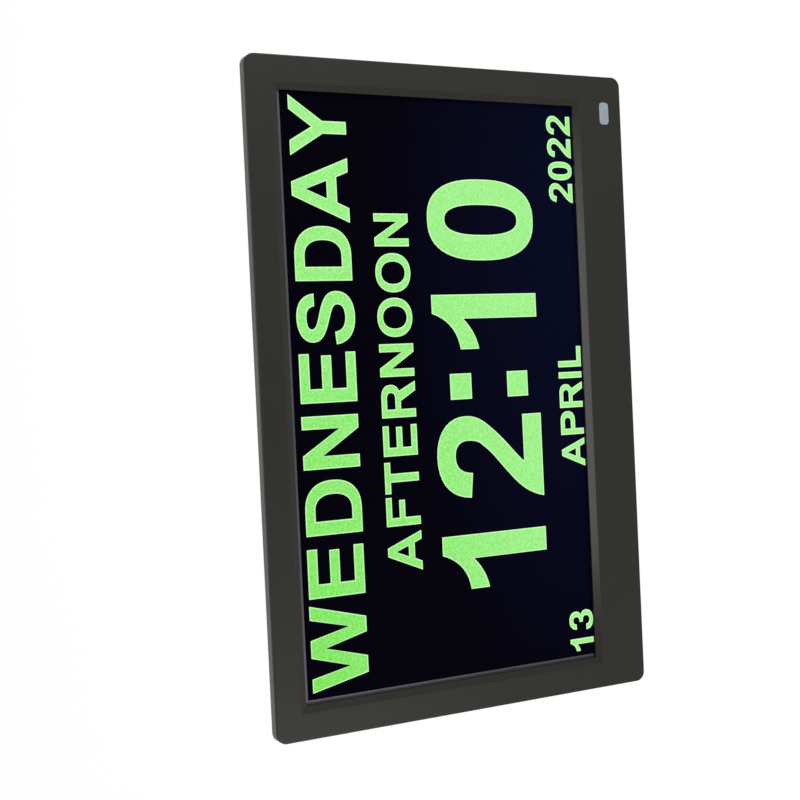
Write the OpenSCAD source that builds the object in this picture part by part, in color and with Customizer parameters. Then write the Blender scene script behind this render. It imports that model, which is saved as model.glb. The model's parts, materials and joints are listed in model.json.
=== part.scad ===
// Day clock: a wide screen in a slim plastic case that leans back on a fold-out leg.
// The case is drawn upright: x across, y from the face (y = 0) to the back, z up from
// the bottom edge (z = 0). leaned() then tips it back and stands it on its feet.

/* [Front bezel] */
// Width of the opening round the screen
opening_w = 225.2; // [215:0.1:240]
// Height of the opening round the screen
opening_h = 129.45; // [124:0.05:140]
// Width of the flat border at the left and right
border_side = 9.7; // [8.6:0.1:14]
// Width of the flat border along the top
border_top = 9.65; // [9.3:0.05:15]
// Width of the flat border along the bottom
border_bottom = 20.5; // [20:0.5:28]
// Width of the sloping edge round the opening
bevel_w = 2.7; // [2:0.1:3.5]
// Depth that the sloping edge falls to
bevel_d = 1.25; // [0.8:0.05:1.5]
// Thickness of the bezel plate
plate_t = 2.0; // [1.9:0.05:2.4]
// Radius of the case's corners, seen from the front
corner_r = 3.8; // [2.5:0.1:5]
// Radius of the rounding round the front edge
edge_r = 0.4; // [0.3:0.1:0.6]
// Depth of the bezel's rim, from the face to the shadow groove
rim_y = 0.8; // [0.7:0.05:1.4]
// Depth of the shadow groove between bezel and cover
groove_d = 0.7; // [0.4:0.1:1]
// Width of the shadow groove
groove_w = 0.5; // [0.3:0.1:0.6]
// Thickness of the tongue that enters the cover
tongue_t = 1.45; // [1.2:0.05:1.6]
// Width of a snap hook
hook_w = 14; // [8:1:20]
// Height of a snap hook's bead
hook_h = 0.5; // [0.3:0.1:0.6]

/* [Rear cover] */
// Wall thickness of the rear cover
wall = 2.0; // [1.8:0.1:2.2]
// Depth of the side walls, from the face
side_y = 5.0; // [4.8:0.1:5.6]
// Depth of the flat flange behind the screen
flange_y = 10.0; // [9.9:0.1:10.4]
// Depth of the whole case, from the face to the back of its raised middle
case_d = 22.0; // [21.5:0.1:25]
// Distance from the case's sides to the raised middle
tub_side = 27; // [24:0.5:30]
// Distance from the case's top to the raised middle
tub_top = 24; // [20:0.5:25]
// Distance from the case's bottom to the raised middle
tub_bottom = 15; // [14:0.5:18]
// Corner radius of the raised middle
tub_r = 6; // [4:0.5:9]
// Rounding of the raised middle's back edge
tub_edge = 1.5; // [0.8:0.1:1.9]
// Number of vent slots
vent_n = 9; // [5:1:12]
// Length of a vent slot
vent_l = 26; // [16:1:30]
// Width of a vent or speaker slot
slot_w = 1.8; // [1.2:0.1:2.4]
// Distance between neighbouring slots
slot_pitch = 4; // [3.4:0.1:5]

/* [Wall mounting] */
// Distance between the two wall holes
wall_pitch = 156; // [150:1:164]
// Distance from the top of the raised middle to the wall holes
wall_drop = 24; // [22.5:0.5:25.5]
// Radius of a wall hole, which passes the screw's head
wall_hole_r = 4.2; // [3.8:0.1:4.5]
// Radius of the slot above a wall hole, which holds the screw's neck
wall_slot_r = 2.2; // [1.8:0.1:2.6]
// Length of that slot, from the hole's centre
wall_slot_l = 8; // [7:0.5:9]
// Depth of the pocket behind a wall hole
wall_pocket_d = 3.8; // [3:0.1:4.4]

/* [Stand] */
// Angle that the case leans back by
lean = 15; // [10:1:20]
// Angle between the folded leg and the open leg
leg_open = 30; // [25:1:36]
// Distance from the top of the raised middle to the leg's hinge
hinge_drop = 41; // [40:0.5:46]
// Half of the width of the leg's recess
recess_x = 31; // [28:0.5:34]
// Gap between the leg and its recess
leg_gap = 0.3; // [0.2:0.05:0.5]
// Thickness of the leg
leg_t = 3.6; // [3:0.1:3.8]
// Thickness of the leg's rear skin
leg_skin = 1.6; // [1.2:0.1:1.8]
// Half of the leg's width at its foot
leg_foot_x = 20; // [16:0.5:24]
// Length of the heel above the hinge, which stops the open leg
heel_l = 5; // [4:0.1:5.4]
// Radius of the hinge pin
pin_r = 1.5; // [1.2:0.1:1.6]
// Running clearance between the pin and the leg
pin_play = 0.05; // [0.02:0.01:0.1]
// Wall of the leg's barrel round the pin
barrel_wall = 1.35; // [1.2:0.05:1.4]
// Thickness of a spring washer at each end of the barrel
washer_t = 0.8; // [0.4:0.1:1]
// Thickness of the rubber round the leg's tip
leg_pad_t = 1.0; // [0.6:0.1:1.4]
// Thickness of the rubber under the leg's tip
leg_sole_t = 2.0; // [1.5:0.1:3]
// Height of the rubber on the leg's tip
leg_pad_h = 8; // [5:0.5:9]
// Least thickness of the case's rubber feet
foot_t = 1.2; // [0.8:0.1:2]
// Width of a rubber foot
foot_w = 22; // [14:1:30]
// Distance from the middle to a rubber foot
foot_x = 95; // [80:1:100]

/* [Screen module] */
// Width of metal frame that shows at the left of the opening
show_left = 1.5; // [0.5:0.1:2]
// Width of metal frame that shows at the top of the opening
show_top = 1.35; // [0.5:0.05:1.6]
// Distance that the frame's window runs on behind the bezel, at the right
lap_right = 0.9; // [0.3:0.1:1.2]
// Distance that the frame's window runs on behind the bezel, at the bottom
lap_bottom = 0.5; // [0.2:0.1:1.5]
// Width of the metal frame's sides
frame_side = 5.0; // [4.4:0.1:5.2]
// Width of the metal frame's top
frame_top = 5.7; // [4.6:0.1:6]
// Width of the metal frame's bottom
frame_bottom = 9; // [8:0.1:9.2]
// Thickness of the metal frame and of the tray
sheet_t = 0.5; // [0.3:0.05:0.5]
// Thickness of the foam gasket
gasket_t = 0.5; // [0.3:0.05:0.5]
// Thickness of the glass panel
panel_t = 1.3; // [1:0.05:1.3]
// Thickness of the stack of diffuser films
film_t = 0.6; // [0.3:0.05:0.6]
// Thickness of the light guide
guide_t = 2.0; // [1.6:0.05:2]
// Thickness of the reflector
reflector_t = 0.2; // [0.1:0.05:0.2]
// Number of lamps on the light strip
led_n = 36; // [12:1:48]

/* [Electronics] */
// Width of the main board
board_w = 55; // [52:0.5:58]
// Height of the main board
board_h = 76; // [74:0.5:80]
// Thickness of the circuit boards
board_t = 1.6; // [1:0.1:1.8]
// Height of the main board's lower edge above the case's bottom
board_z = 32; // [31:0.5:34]
// Depth of the main board's front, from the face
board_y = 9.7; // [9.6:0.1:10]
// Radius of the power inlet's hole
jack_r = 2.8; // [2.7:0.05:2.9]
// Radius of the power inlet's centre pin
jack_pin_r = 1.0; // [0.8:0.05:1.05]
// Length of the power inlet's centre pin
jack_pin_l = 8; // [6:0.5:9]
// Radius of the backup cell
cell_r = 10; // [8:0.5:10]
// Thickness of the backup cell
cell_t = 3.2; // [2:0.1:3.2]
// Radius of the speaker
speaker_r = 14; // [12:0.5:16]
// Depth of the speaker's frame
speaker_d = 5; // [4:0.1:5.5]
// Height of the speaker above the case's bottom
speaker_z = 52; // [46:1:60]
// Radius of the speaker's wires
wire_r = 0.6; // [0.4:0.05:0.7]

/* [Buttons] */
// Distance between neighbouring buttons
key_pitch = 15; // [13:0.5:16]
// Width of a button
key_w = 9; // [7:0.5:10]
// Height of a button
key_h = 6; // [5:0.5:7]
// Height that a button stands proud by
key_proud = 1.2; // [0.9:0.1:2]
// Gap round a button
key_gap = 0.25; // [0.2:0.05:0.3]
// Distance that a button travels
key_travel = 0.5; // [0.3:0.05:0.6]
// Distance from the top of the raised middle to the buttons
key_drop = 13; // [12.5:0.5:14]
// Radius of a switch's plunger
plunger_r = 1.7; // [1.4:0.1:2]

/* [Infrared window] */
// Width of the window
ir_w = 9.5; // [7:0.5:10]
// Height of the window
ir_h = 5.0; // [4:0.1:6]
// Distance from the window's centre to the case's side
ir_side = 15; // [14.2:0.1:16]
// Height of the window's centre above the case's bottom
ir_z = 8.3; // [7.8:0.1:9]
// Gap round the window
ir_gap = 0.25; // [0.1:0.05:0.3]

/* [Screws] */
// Radius of a case screw's shank
case_screw_r = 1.3; // [1:0.1:1.5]
// Radius of a case screw's head
case_head_r = 2.5; // [2.2:0.1:2.6]
// Height of the case screws above the case's bottom
case_screw_z = 8; // [7.9:0.1:8.6]
// Radius of a board screw's shank
board_screw_r = 1.25; // [1:0.05:1.3]
// Radius of a board screw's head
board_head_r = 2.2; // [2:0.1:2.4]
// Thickness of the screws' heads
head_t = 1.5; // [1.2:0.1:1.5]

/* [Hidden] */

// Fine steps: an overcut, a thin layer for hulls, and steps in a quarter turn
cut = 1;
layer = 0.01;
arc_n = 8;
edge_steps = 4;
wire_sides = 8;

// Case outline
case_w = opening_w + 2 * (bevel_w + border_side);
case_h = opening_h + 2 * bevel_w + border_top + border_bottom;
case_x = case_w / 2;
seam_y = rim_y + groove_w;
opening_x = opening_w / 2;
opening_z0 = border_bottom + bevel_w;
opening_z1 = opening_z0 + opening_h;
tongue_gap = 0.1;
tongue_in = wall + tongue_gap + tongue_t;
bevel_45 = wall * sqrt(2);
bend_y = side_y + wall - bevel_45;
tongue_y = bend_y - 0.1;
hook_y1 = tongue_y - 0.2;
hook_y0 = hook_y1 - 0.9;
hook_play = 0.1;
hook_top_xs = [for (k = [-3, -1, 1, 3]) k * case_w * 0.12];
hook_side_zs = [for (k = [1, 2, 3]) k * case_h / 4];

// Raised middle of the cover
tub_x = case_x - tub_side;
tub_z0 = tub_bottom;
tub_z1 = case_h - tub_top;
back_y = case_d - wall;
wall_hole_z = tub_z1 - wall_drop;
flange_in = flange_y - wall;

// Leg and hinge, in the upright case
hinge_z = tub_z1 - hinge_drop;
leg_back = leg_t * 0.75;
leg_front = leg_back - leg_t;
barrel_r = pin_r + pin_play + barrel_wall;
hinge_y = case_d - max(leg_back, barrel_r) - leg_gap / 3;
heel_r = norm([leg_back, heel_l]);
pocket_r = heel_r + leg_gap * 1.5;
lug_t = 4.5;
leg_shoulder = 8;
leg_rim = 2;
leg_rib = 1.6;
leg_rows = 3;
barrel_x = recess_x - washer_t - leg_gap / 1.5;
stop_gap = 0.1;

// Stand: the case's feet and the leg's sole meet one floor
rest_z = side_y * sin(lean) + foot_t;
leg_tilt = leg_open - lean;
hinge_h = hinge_z * cos(lean) - hinge_y * sin(lean) + rest_z;
hinge_run = hinge_y * cos(lean) + hinge_z * sin(lean);
pad_front = leg_front - leg_pad_t;
pad_back = leg_back + leg_pad_t * 0.7;
leg_l = -sole_z(pad_front) - leg_sole_t;
front_run = min([for (i = [0:edge_steps]) let (a = edge_angle(i))
    edge_r * (1 - cos(a)) * cos(lean) + edge_r * (1 - sin(a)) * sin(lean)]);
back_run = hinge_run + pad_back * cos(leg_tilt) - sole_z(pad_back) * sin(leg_tilt);
rest_y = -(front_run + back_run) / 2;

// Screen module, front to back
module_y = plate_t + gasket_t;
panel_y = module_y + sheet_t;
film_y = panel_y + panel_t;
guide_y = film_y + film_t;
reflector_y = guide_y + guide_t;
tray_y = reflector_y + reflector_t;
module_back = tray_y + sheet_t;
window_x0 = show_left - opening_x;
window_x1 = opening_x + lap_right;
window_z0 = opening_z0 - lap_bottom;
window_z1 = opening_z1 - show_top;
module_x0 = window_x0 - frame_side;
module_x1 = window_x1 + frame_side;
module_z0 = window_z0 - frame_bottom;
module_z1 = window_z1 + frame_top;
sheet_gap = 0.05;
tray_in = 2 * sheet_t + 3 * sheet_gap;
strip_h = 1.4;
strip_board_t = 0.6;
rib_t = 1.2;
rib_gap = 0.15;
rib_l = 8;
rib_d = 3;

// Main board and what stands on it
board_x1 = tub_x - wall - 0.5;
board_x0 = board_x1 - board_w;
board_back = board_y + board_t;
board_z1 = board_z + board_h;
boss_r = 3;
boss_in = 4;
low_boss_in = 19.5;
high_boss_in = 6.5;
board_bosses = [[board_x0 + boss_in, board_z + boss_in], [board_x1 - low_boss_in, board_z + boss_in],
                [board_x0 + boss_in, board_z1 - high_boss_in],
                [board_x1 - boss_in, board_z1 - boss_in]];
port_x1 = tub_x - wall - 0.05;
jack_up = 9;
jack_z = board_z + jack_up;
jack_size = [13, 8.4, 9];
jack_axis_y = board_back + jack_size[1] / 2;
jack_depth = 10;
usb_up = 23.5;
usb_z = board_z + usb_up;
usb_size = [14, 7, 14.5];
usb_wall = 0.4;
card_drop = 22;
card_z = board_z1 - card_drop;
card_size = [27.5, 2.9, 28];
card_wall = 0.3;
port_gap = 0.4;
holder_wall = 0.8;
holder_t = 0.8;
holder_gap = 0.65;
cell_drop = 19;
cell_x = port_x1 - card_size[0] - holder_gap - holder_wall - cell_r;
cell_z = board_z1 - cell_drop;
ribbon_t = 0.3;
lcd_ribbon_w = 16;
key_ribbon_w = 6;
lcd_plug_in = 19;
lcd_plug_x = board_x0 + lcd_plug_in;
key_plug_x = board_x0 + 12;
plug_h = 2.0;
plug_d = 4;
plug_edge = 0.5;
key_plug_drop = 4;
low_plug_h = 1.0;
speaker_plug_z = 46;
speaker_plug_w = 6;

// Parts on the main board: distances from its lower corner, then width, height and thickness
chips = [[18, 28, 14, 14, 1.4], [31.3, 26.5, 8, 11, 1.2], [8, 36, 5, 6, 1.5],
         [31, 16, 6, 6, 3], [23, 15, 5, 4, 1.6]];
capacitors = [[8, 14], [14.5, 14], [38, 22]];
capacitor_r = 2.5;
capacitor_h = 5.4;

// Driver board behind the screen
driver_t = 0.8;
driver_y = module_back + 0.05;
driver_w = 64;
driver_h = 5.9;
driver_x1 = board_x0 + 40;
driver_x0 = driver_x1 - driver_w;
driver_z1 = board_z + 0.4;
driver_z0 = driver_z1 - driver_h;
driver_plug_z = driver_z0 + 1;

// Foam pads behind the screen: gap to the raised middle, gap to the module's side, half height
pad_in = 3;
pad_out = 5;
pad_half = 14;

// Keys
key_z = tub_z1 - key_drop;
key_xs = [for (i = [0:6]) (3 - i) * key_pitch];
key_flange = 0.8;
key_flange_t = 0.7;
key_seat = back_y - 0.1;
key_base = key_seat - key_flange_t;
plunger_out = 0.9;
switch_h = 3.5;
switch_w = 6;
switch_y = key_base - plunger_out - switch_h;
key_board_y = switch_y - board_t;
key_board_end = 13;
key_board_low = 9.5;
key_board_high = 6.5;
key_screw_out = 9.2;
key_board_x = max(3 * key_pitch + key_board_end, key_plug_x + key_ribbon_w);
key_board_z0 = key_z - key_board_low;
key_board_z1 = key_z + key_board_high;
key_plug_z = key_board_z0 + plug_edge;
key_screw_x = 3 * key_pitch + key_screw_out;
key_boss_r = 2.6;
plunger_sink = 1.3;

// Case screws
case_screw_xs = [for (k = [-3, -1, 1, 3]) k * case_w * 0.112];
case_boss_r = 3.2;
seat_y = flange_in - 1;
seat_t = 1.2;
screw_head_y = seat_y + seat_t;
screw_play = 0.3;
shank_tip = plate_t + 0.5;

// Infrared receiver
ir_x = case_x - ir_side;
ir_r = 1.7;
ir_lip = 0.6;
ir_lip_t = 0.6;
ir_post_x = ir_w / 2 + 2.2;
ir_post_r = 1.3;
ir_pin_r = 0.7;
ir_board_y = plate_t + 4;
ir_board_t = 1.0;
ir_board_w = 2 * ir_post_x + 3.4;
ir_board_h = 6.6;
ir_wire_r = 0.4;
ir_wire_pitch = 1.1;
ir_plug_x = 47.5;
ir_plug_size = [7, plug_h, 3.4];
channel_x0 = case_screw_xs[3] + case_boss_r + 2.6;
channel_x1 = channel_x0 + 5.2;
channel_d = 1.1;
channel_run = 4;
channel_lead = 1.5;

// Speaker
speaker_x = -(tub_x - wall - speaker_r - 9);
speaker_y0 = back_y - speaker_d;
speaker_wall = 1.2;
speaker_ear_x = speaker_r + 3.4;
speaker_ear_y = speaker_y0 + 1;
speaker_ear_t = 1.2;
magnet_r = 7.5;
magnet_t = 3;
speaker_screw_r = 1.0;
speaker_head_r = 1.8;
speaker_boss_r = 2.2;
post_hole_l = 6;
key_hole_l = 4;
speaker_hole_l = 2.6;

// Bends of the speaker's wires: away from the speaker, the sag before the plug, the lead into it
wire_out = 18;
wire_rise = 9;
wire_sag_x = 14;
wire_sag_z = 5;
wire_lead = 5;

// ---- Helpers ----

// Depth of the floor under the leg, in the leg's own frame
function sole_z(y) = -(hinge_h + y * sin(leg_tilt)) / cos(leg_tilt);

// Height of the floor under the case, in the upright case
function floor_z(y) = (y * sin(lean) - rest_z) / cos(lean);

// Angle at step i of a rounded edge
function edge_angle(i) = i * 90 / edge_steps;

function arc(cx, cz, r, a0, a1) =
    [for (i = [0:arc_n]) let (a = a0 + (a1 - a0) * i / arc_n) [cx + r * cos(a), cz + r * sin(a)]];

function rounded(x0, x1, z0, z1, r) =
    concat(arc(x1 - r, z0 + r, r, -90, 0), arc(x1 - r, z1 - r, r, 0, 90),
           arc(x0 + r, z1 - r, r, 90, 180), arc(x0 + r, z0 + r, r, 180, 270));

// A slot with round ends, w wide in all and h high
function stadium(cx, cz, w, h) =
    w >= h
    ? concat(arc(cx + (w - h) / 2, cz, h / 2, -90, 90), arc(cx - (w - h) / 2, cz, h / 2, 90, 270))
    : concat(arc(cx, cz + (h - w) / 2, w / 2, 0, 180), arc(cx, cz - (h - w) / 2, w / 2, 180, 360));

// Unit normal of the line from a to b
function side_of(a, b) = let (d = (b - a) / norm(b - a)) [-d[1], d[0]];

// Corner of a strip of half thickness h at point i of a route
function mitre(p, i, h) =
    i == 0 ? p[0] + h * side_of(p[0], p[1])
    : i == len(p) - 1 ? p[i] + h * side_of(p[i - 1], p[i])
    : let (a = side_of(p[i - 1], p[i]), b = side_of(p[i], p[i + 1])) p[i] + h * (a + b) / (1 + a * b);

// Outline of a flat cable of thickness t along a route
function strip(p, t) =
    concat([for (i = [0:len(p) - 1]) mitre(p, i, t / 2)],
           [for (i = [len(p) - 1:-1:0]) mitre(p, i, -t / 2)]);

// Extrudes an outline in x and z between two depths
module along_y(y0, y1) {
    translate([0, y1, 0])
        rotate([90, 0, 0])
            linear_extrude(y1 - y0)
                children();
}

// Extrudes an outline in y and z across the case
module along_x(x0, x1) {
    translate([x0, 0, 0])
        rotate([90, 0, 90])
            linear_extrude(x1 - x0)
                children();
}

module box(x0, x1, y0, y1, z0, z1) {
    translate([x0, y0, z0])
        cube([x1 - x0, y1 - y0, z1 - z0]);
}

module slab(x0, x1, z0, z1, r, y0, y1) {
    along_y(y0, y1)
        polygon(rounded(x0, x1, z0, z1, r));
}

// The case's outline, drawn in by inset
module case_slab(inset, r, y0, y1) {
    slab(inset - case_x, case_x - inset, inset, case_h - inset, r, y0, y1);
}

module tub_slab(inset, r, y0, y1) {
    slab(inset - tub_x, tub_x - inset, tub_z0 + inset, tub_z1 - inset, r, y0, y1);
}

// A round bar along y
module bar_y(x, z, r, y0, y1) {
    translate([x, y0, z])
        rotate([-90, 0, 0])
            cylinder(r = r, h = y1 - y0, $fn = 48);
}

// A round bar along x, centred on the hinge
module bar_x(r, x0, x1) {
    translate([x0, 0, 0])
        rotate([0, 90, 0])
            cylinder(r = r, h = x1 - x0, $fn = 48);
}

// Stands the upright case on its feet, leaning back
module leaned() {
    translate([0, rest_y, rest_z])
        rotate([-lean, 0, 0])
            children();
}

// Moves to the hinge's axis, in the upright case
module at_hinge() {
    translate([0, hinge_y, hinge_z])
        children();
}

// A pan-head screw with a cross recess: its head rises along z from z = 0
module pan_screw(head_r, t, shank_r, shank_l) {
    slot = head_r * 0.32;
    difference() {
        union() {
            cylinder(r = head_r, h = t * 0.6, $fn = 48);
            translate([0, 0, t * 0.6])
                cylinder(r1 = head_r, r2 = head_r * 0.72, h = t * 0.4, $fn = 48);
            translate([0, 0, -shank_l])
                cylinder(r = shank_r, h = shank_l + layer, $fn = 32);
        }
        for (a = [0, 90])
            rotate([0, 0, a])
                translate([-head_r * 0.6, -slot / 2, t * 0.45])
                    cube([head_r * 1.2, slot, t]);
    }
}

function unit(v) = v / norm(v);

// Direction of a route at its point i
function heading(p, i) =
    i == 0 ? unit(p[1] - p[0])
    : i == len(p) - 1 ? unit(p[i] - p[i - 1])
    : unit(unit(p[i] - p[i - 1]) + unit(p[i + 1] - p[i]));

// A direction across a route at each point, carried along it without twisting
function across(p, i) =
    let (t = heading(p, i))
    i == 0
    ? unit(cross(t, abs(t[2]) < 0.7 ? [0, 0, 1] : [1, 0, 0]))
    : let (n = across(p, i - 1)) unit(n - (n * t) * t);

// Rounds a route's corners by cutting each of them once
function eased(p) =
    concat([p[0]],
           [for (i = [0:len(p) - 2], k = [0.25, 0.75])
               if (i + k > 0.5 && i + k < len(p) - 1.5) p[i] * (1 - k) + p[i + 1] * k],
           [p[len(p) - 1]]);

// A wire of radius r along a route, as a tube of wire_sides sides
module wire(route, r) {
    p = eased(eased(route));
    n = wire_sides;
    rings = [for (i = [0:len(p) - 1])
        let (t = heading(p, i), u = across(p, i), v = cross(t, u))
        for (k = [0:n - 1]) p[i] + r * (cos(k * 360 / n) * u + sin(k * 360 / n) * v)];
    walls = [for (i = [0:len(p) - 2], k = [0:n - 1])
        let (a = i * n + k, b = i * n + (k + 1) % n)
        each [[a, b + n, b], [a, a + n, b + n]]];
    ends = [for (k = [1:n - 2])
        each [[0, k, k + 1], [(len(p) - 1) * n, (len(p) - 1) * n + k + 1, (len(p) - 1) * n + k]]];
    polyhedron(points = rings, faces = concat(walls, ends));
}

// ---- Case ----

module bezel_plate() {
    hull() {
        for (i = [0:edge_steps - 1]) {
            inset = edge_r * (1 - sin(edge_angle(i)));
            y = edge_r * (1 - cos(edge_angle(i)));
            case_slab(inset, corner_r - inset, y, y + layer);
        }
        case_slab(0, corner_r, edge_r, rim_y);
    }
    case_slab(groove_d, corner_r - groove_d, rim_y - layer, seam_y);
    case_slab(wall + tongue_gap, 1, seam_y - layer, plate_t);
}

module bezel_tongue() {
    difference() {
        case_slab(wall + tongue_gap, 1, plate_t - layer, tongue_y);
        case_slab(tongue_in, 0.5, plate_t - cut, tongue_y + cut);
    }
    hook_in = wall + tongue_gap + tongue_t / 2;
    hook_out = wall - hook_h + hook_play;
    for (x = hook_top_xs)
        box(x - hook_w / 2, x + hook_w / 2, hook_y0, hook_y1, case_h - hook_in, case_h - hook_out);
    for (z = hook_side_zs, s = [-1, 1])
        scale_x(s)
            box(case_x - hook_in, case_x - hook_out, hook_y0, hook_y1, z - hook_w / 2, z + hook_w / 2);
}

module scale_x(s) {
    if (s < 0)
        mirror([1, 0, 0])
            children();
    else
        children();
}

// Ribs on the bezel's back that hold the screen module in place
module module_ribs() {
    y1 = plate_t + rib_d;
    for (t = [0.2, 0.8]) {
        z = module_z0 + t * (module_z1 - module_z0);
        x = module_x0 + t * (module_x1 - module_x0);
        box(module_x0 - rib_gap - rib_t, module_x0 - rib_gap, plate_t - layer, y1,
            z - rib_l / 2, z + rib_l / 2);
        box(module_x1 + rib_gap, module_x1 + rib_gap + rib_t, plate_t - layer, y1,
            z - rib_l / 2, z + rib_l / 2);
        box(x - rib_l / 2, x + rib_l / 2, plate_t - layer, y1,
            module_z0 - rib_gap - rib_t, module_z0 - rib_gap);
        box(x - rib_l / 2, x + rib_l / 2, plate_t - layer, y1,
            module_z1 + rib_gap, module_z1 + rib_gap + rib_t);
    }
}

// The opening and its sloping edge, cut as one shape with mitred corners
module opening_cut() {
    slope = bevel_w / bevel_d;
    out = bevel_w + slope * cut;
    through = plate_t + cut;
    intersection() {
        translate([0, 0, opening_z0 - 2 * out])
            linear_extrude(opening_h + 4 * out)
                polygon([[-opening_x - out, -cut], [opening_x + out, -cut], [opening_x, bevel_d],
                         [opening_x, through], [-opening_x, through], [-opening_x, bevel_d]]);
        along_x(-opening_x - 2 * out, opening_x + 2 * out)
            polygon([[-cut, opening_z0 - out], [bevel_d, opening_z0], [through, opening_z0],
                     [through, opening_z1], [bevel_d, opening_z1], [-cut, opening_z1 + out]]);
    }
}

module front_bezel() {
    color("#3c3b37")
        leaned()
            difference() {
                union() {
                    bezel_plate();
                    bezel_tongue();
                    module_ribs();
                    for (x = case_screw_xs)
                        bar_y(x, case_screw_z, case_boss_r, plate_t - layer, seat_y);
                    for (s = [-1, 1]) {
                        bar_y(ir_x + s * ir_post_x, ir_z, ir_post_r, plate_t - layer, ir_board_y);
                        bar_y(ir_x + s * ir_post_x, ir_z, ir_pin_r, plate_t, ir_board_y + ir_board_t + 0.4);
                    }
                }
                opening_cut();
                slab(ir_x - ir_w / 2, ir_x + ir_w / 2, ir_z - ir_h / 2, ir_z + ir_h / 2, ir_r,
                     -cut, plate_t + cut);
                for (x = case_screw_xs)
                    bar_y(x, case_screw_z, case_screw_r, plate_t, seat_y + cut);
            }
}

module ir_window() {
    w = ir_w / 2 - ir_gap;
    h = ir_h / 2 - ir_gap;
    lip_w = ir_w / 2 + ir_lip;
    lip_h = ir_h / 2 + ir_lip;
    color("#98a2b4")
        leaned() {
            slab(ir_x - w, ir_x + w, ir_z - h, ir_z + h, ir_r - ir_gap, 0.1, plate_t + layer);
            slab(ir_x - lip_w, ir_x + lip_w, ir_z - lip_h, ir_z + lip_h, ir_r,
                 plate_t, plate_t + ir_lip_t);
        }
}

// Outer skin of the cover: side walls, a 45 degree slope, the flange and the raised middle
module cover_skin() {
    hull() {
        case_slab(0, corner_r, seam_y, side_y);
        case_slab(flange_y - side_y, corner_r, flange_y - layer, flange_y);
    }
    hull() {
        tub_slab(0, tub_r, flange_in, case_d - tub_edge);
        for (i = [1:edge_steps]) {
            inset = tub_edge * (1 - cos(edge_angle(i)));
            y = case_d - tub_edge * (1 - sin(edge_angle(i)));
            tub_slab(inset, tub_r - inset, y - layer, y);
        }
    }
}

module cover_cavity() {
    hull() {
        case_slab(wall, 1.2, seam_y - cut, bend_y);
        case_slab(flange_in - side_y + bevel_45, 1.2, flange_in - layer, flange_in);
    }
    tub_slab(wall, tub_r - wall, flange_in - cut, back_y);
}

module hook_windows() {
    d = wall - hook_h - hook_play;
    w = hook_w / 2 + 0.5;
    for (x = hook_top_xs)
        box(x - w, x + w, hook_y0 - hook_play, hook_y1 + hook_play, case_h - wall - cut, case_h - d);
    for (z = hook_side_zs, s = [-1, 1])
        scale_x(s)
            box(case_x - wall - cut, case_x - d, hook_y0 - hook_play, hook_y1 + hook_play, z - w, z + w);
}

// What the leg, its heel and its barrel sweep through
module leg_space() {
    at_hinge() {
        box(-recess_x, recess_x, leg_front - leg_gap, case_d, -hinge_z, 0);
        bar_x(barrel_r + leg_gap, -recess_x, recess_x);
        intersection() {
            bar_x(pocket_r, -recess_x, recess_x);
            rotate([leg_open, 0, 0])
                box(-recess_x - cut, recess_x + cut, leg_front - stop_gap, case_d, -case_d, case_d);
        }
    }
}

// Walls of the leg's recess, inside the cover
module recess_walls() {
    x = recess_x + wall;
    box(-x, x, hinge_y + leg_front - leg_gap - wall, back_y + wall / 2, tub_z0 + wall / 2, hinge_z);
    intersection() {
        at_hinge()
            bar_x(pocket_r + wall, -x, x);
        box(-x, x, flange_in, back_y + wall / 2, tub_z0, tub_z1);
    }
    lug_r = pin_r + 3.5;
    for (s = [-1, 1])
        scale_x(s)
            box(recess_x, recess_x + lug_t, hinge_y - lug_r, back_y + wall / 2,
                hinge_z - lug_r, hinge_z + lug_r);
}

module wall_pocket(x) {
    w = wall_hole_r + 1.8;
    top = wall_hole_z + wall_slot_l + w;
    skin = 1.2;
    difference() {
        box(x - w - skin, x + w + skin, back_y - wall_pocket_d - skin, back_y + wall / 2,
            wall_hole_z - w - skin, top + skin);
        box(x - w, x + w, back_y - wall_pocket_d, back_y, wall_hole_z - w, top);
        wall_hole(x);
    }
}

module wall_hole(x) {
    bar_y(x, wall_hole_z, wall_hole_r, back_y - layer, case_d + cut);
    bar_y(x, wall_hole_z + wall_slot_l, wall_slot_r, back_y - layer, case_d + cut);
    box(x - wall_slot_r, x + wall_slot_r, back_y - layer, case_d + cut,
        wall_hole_z, wall_hole_z + wall_slot_l);
}

// A hollow post from the cover's back to a board
module post(x, z, r, y0, hole_r, hole_l) {
    difference() {
        bar_y(x, z, r, y0, back_y + wall / 2);
        bar_y(x, z, hole_r, y0 - cut, y0 + hole_l);
    }
}

module cover_posts() {
    for (p = board_bosses)
        post(p[0], p[1], boss_r, board_back, board_screw_r, post_hole_l);
    for (s = [-1, 1]) {
        post(s * key_screw_x, key_z, key_boss_r, key_board_y + board_t, board_screw_r, key_hole_l);
        post(speaker_x + s * speaker_ear_x, speaker_z, speaker_boss_r,
             speaker_ear_y + speaker_ear_t, speaker_screw_r, speaker_hole_l);
    }
}

module vent_slots() {
    x = (board_x0 + board_x1) / 2;
    z = board_z + board_h * 0.3;
    for (i = [0:vent_n - 1])
        along_y(back_y - cut, case_d + cut)
            polygon(stadium(x + (i - (vent_n - 1) / 2) * slot_pitch, z, slot_w, vent_l));
}

module speaker_slots() {
    n = floor((speaker_r - 2) / slot_pitch);
    for (i = [-n:n]) {
        l = 2 * sqrt((speaker_r - 1) * (speaker_r - 1) - i * i * slot_pitch * slot_pitch);
        along_y(back_y - cut, case_d + cut)
            polygon(stadium(speaker_x, speaker_z + i * slot_pitch, l, slot_w));
    }
}

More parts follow.
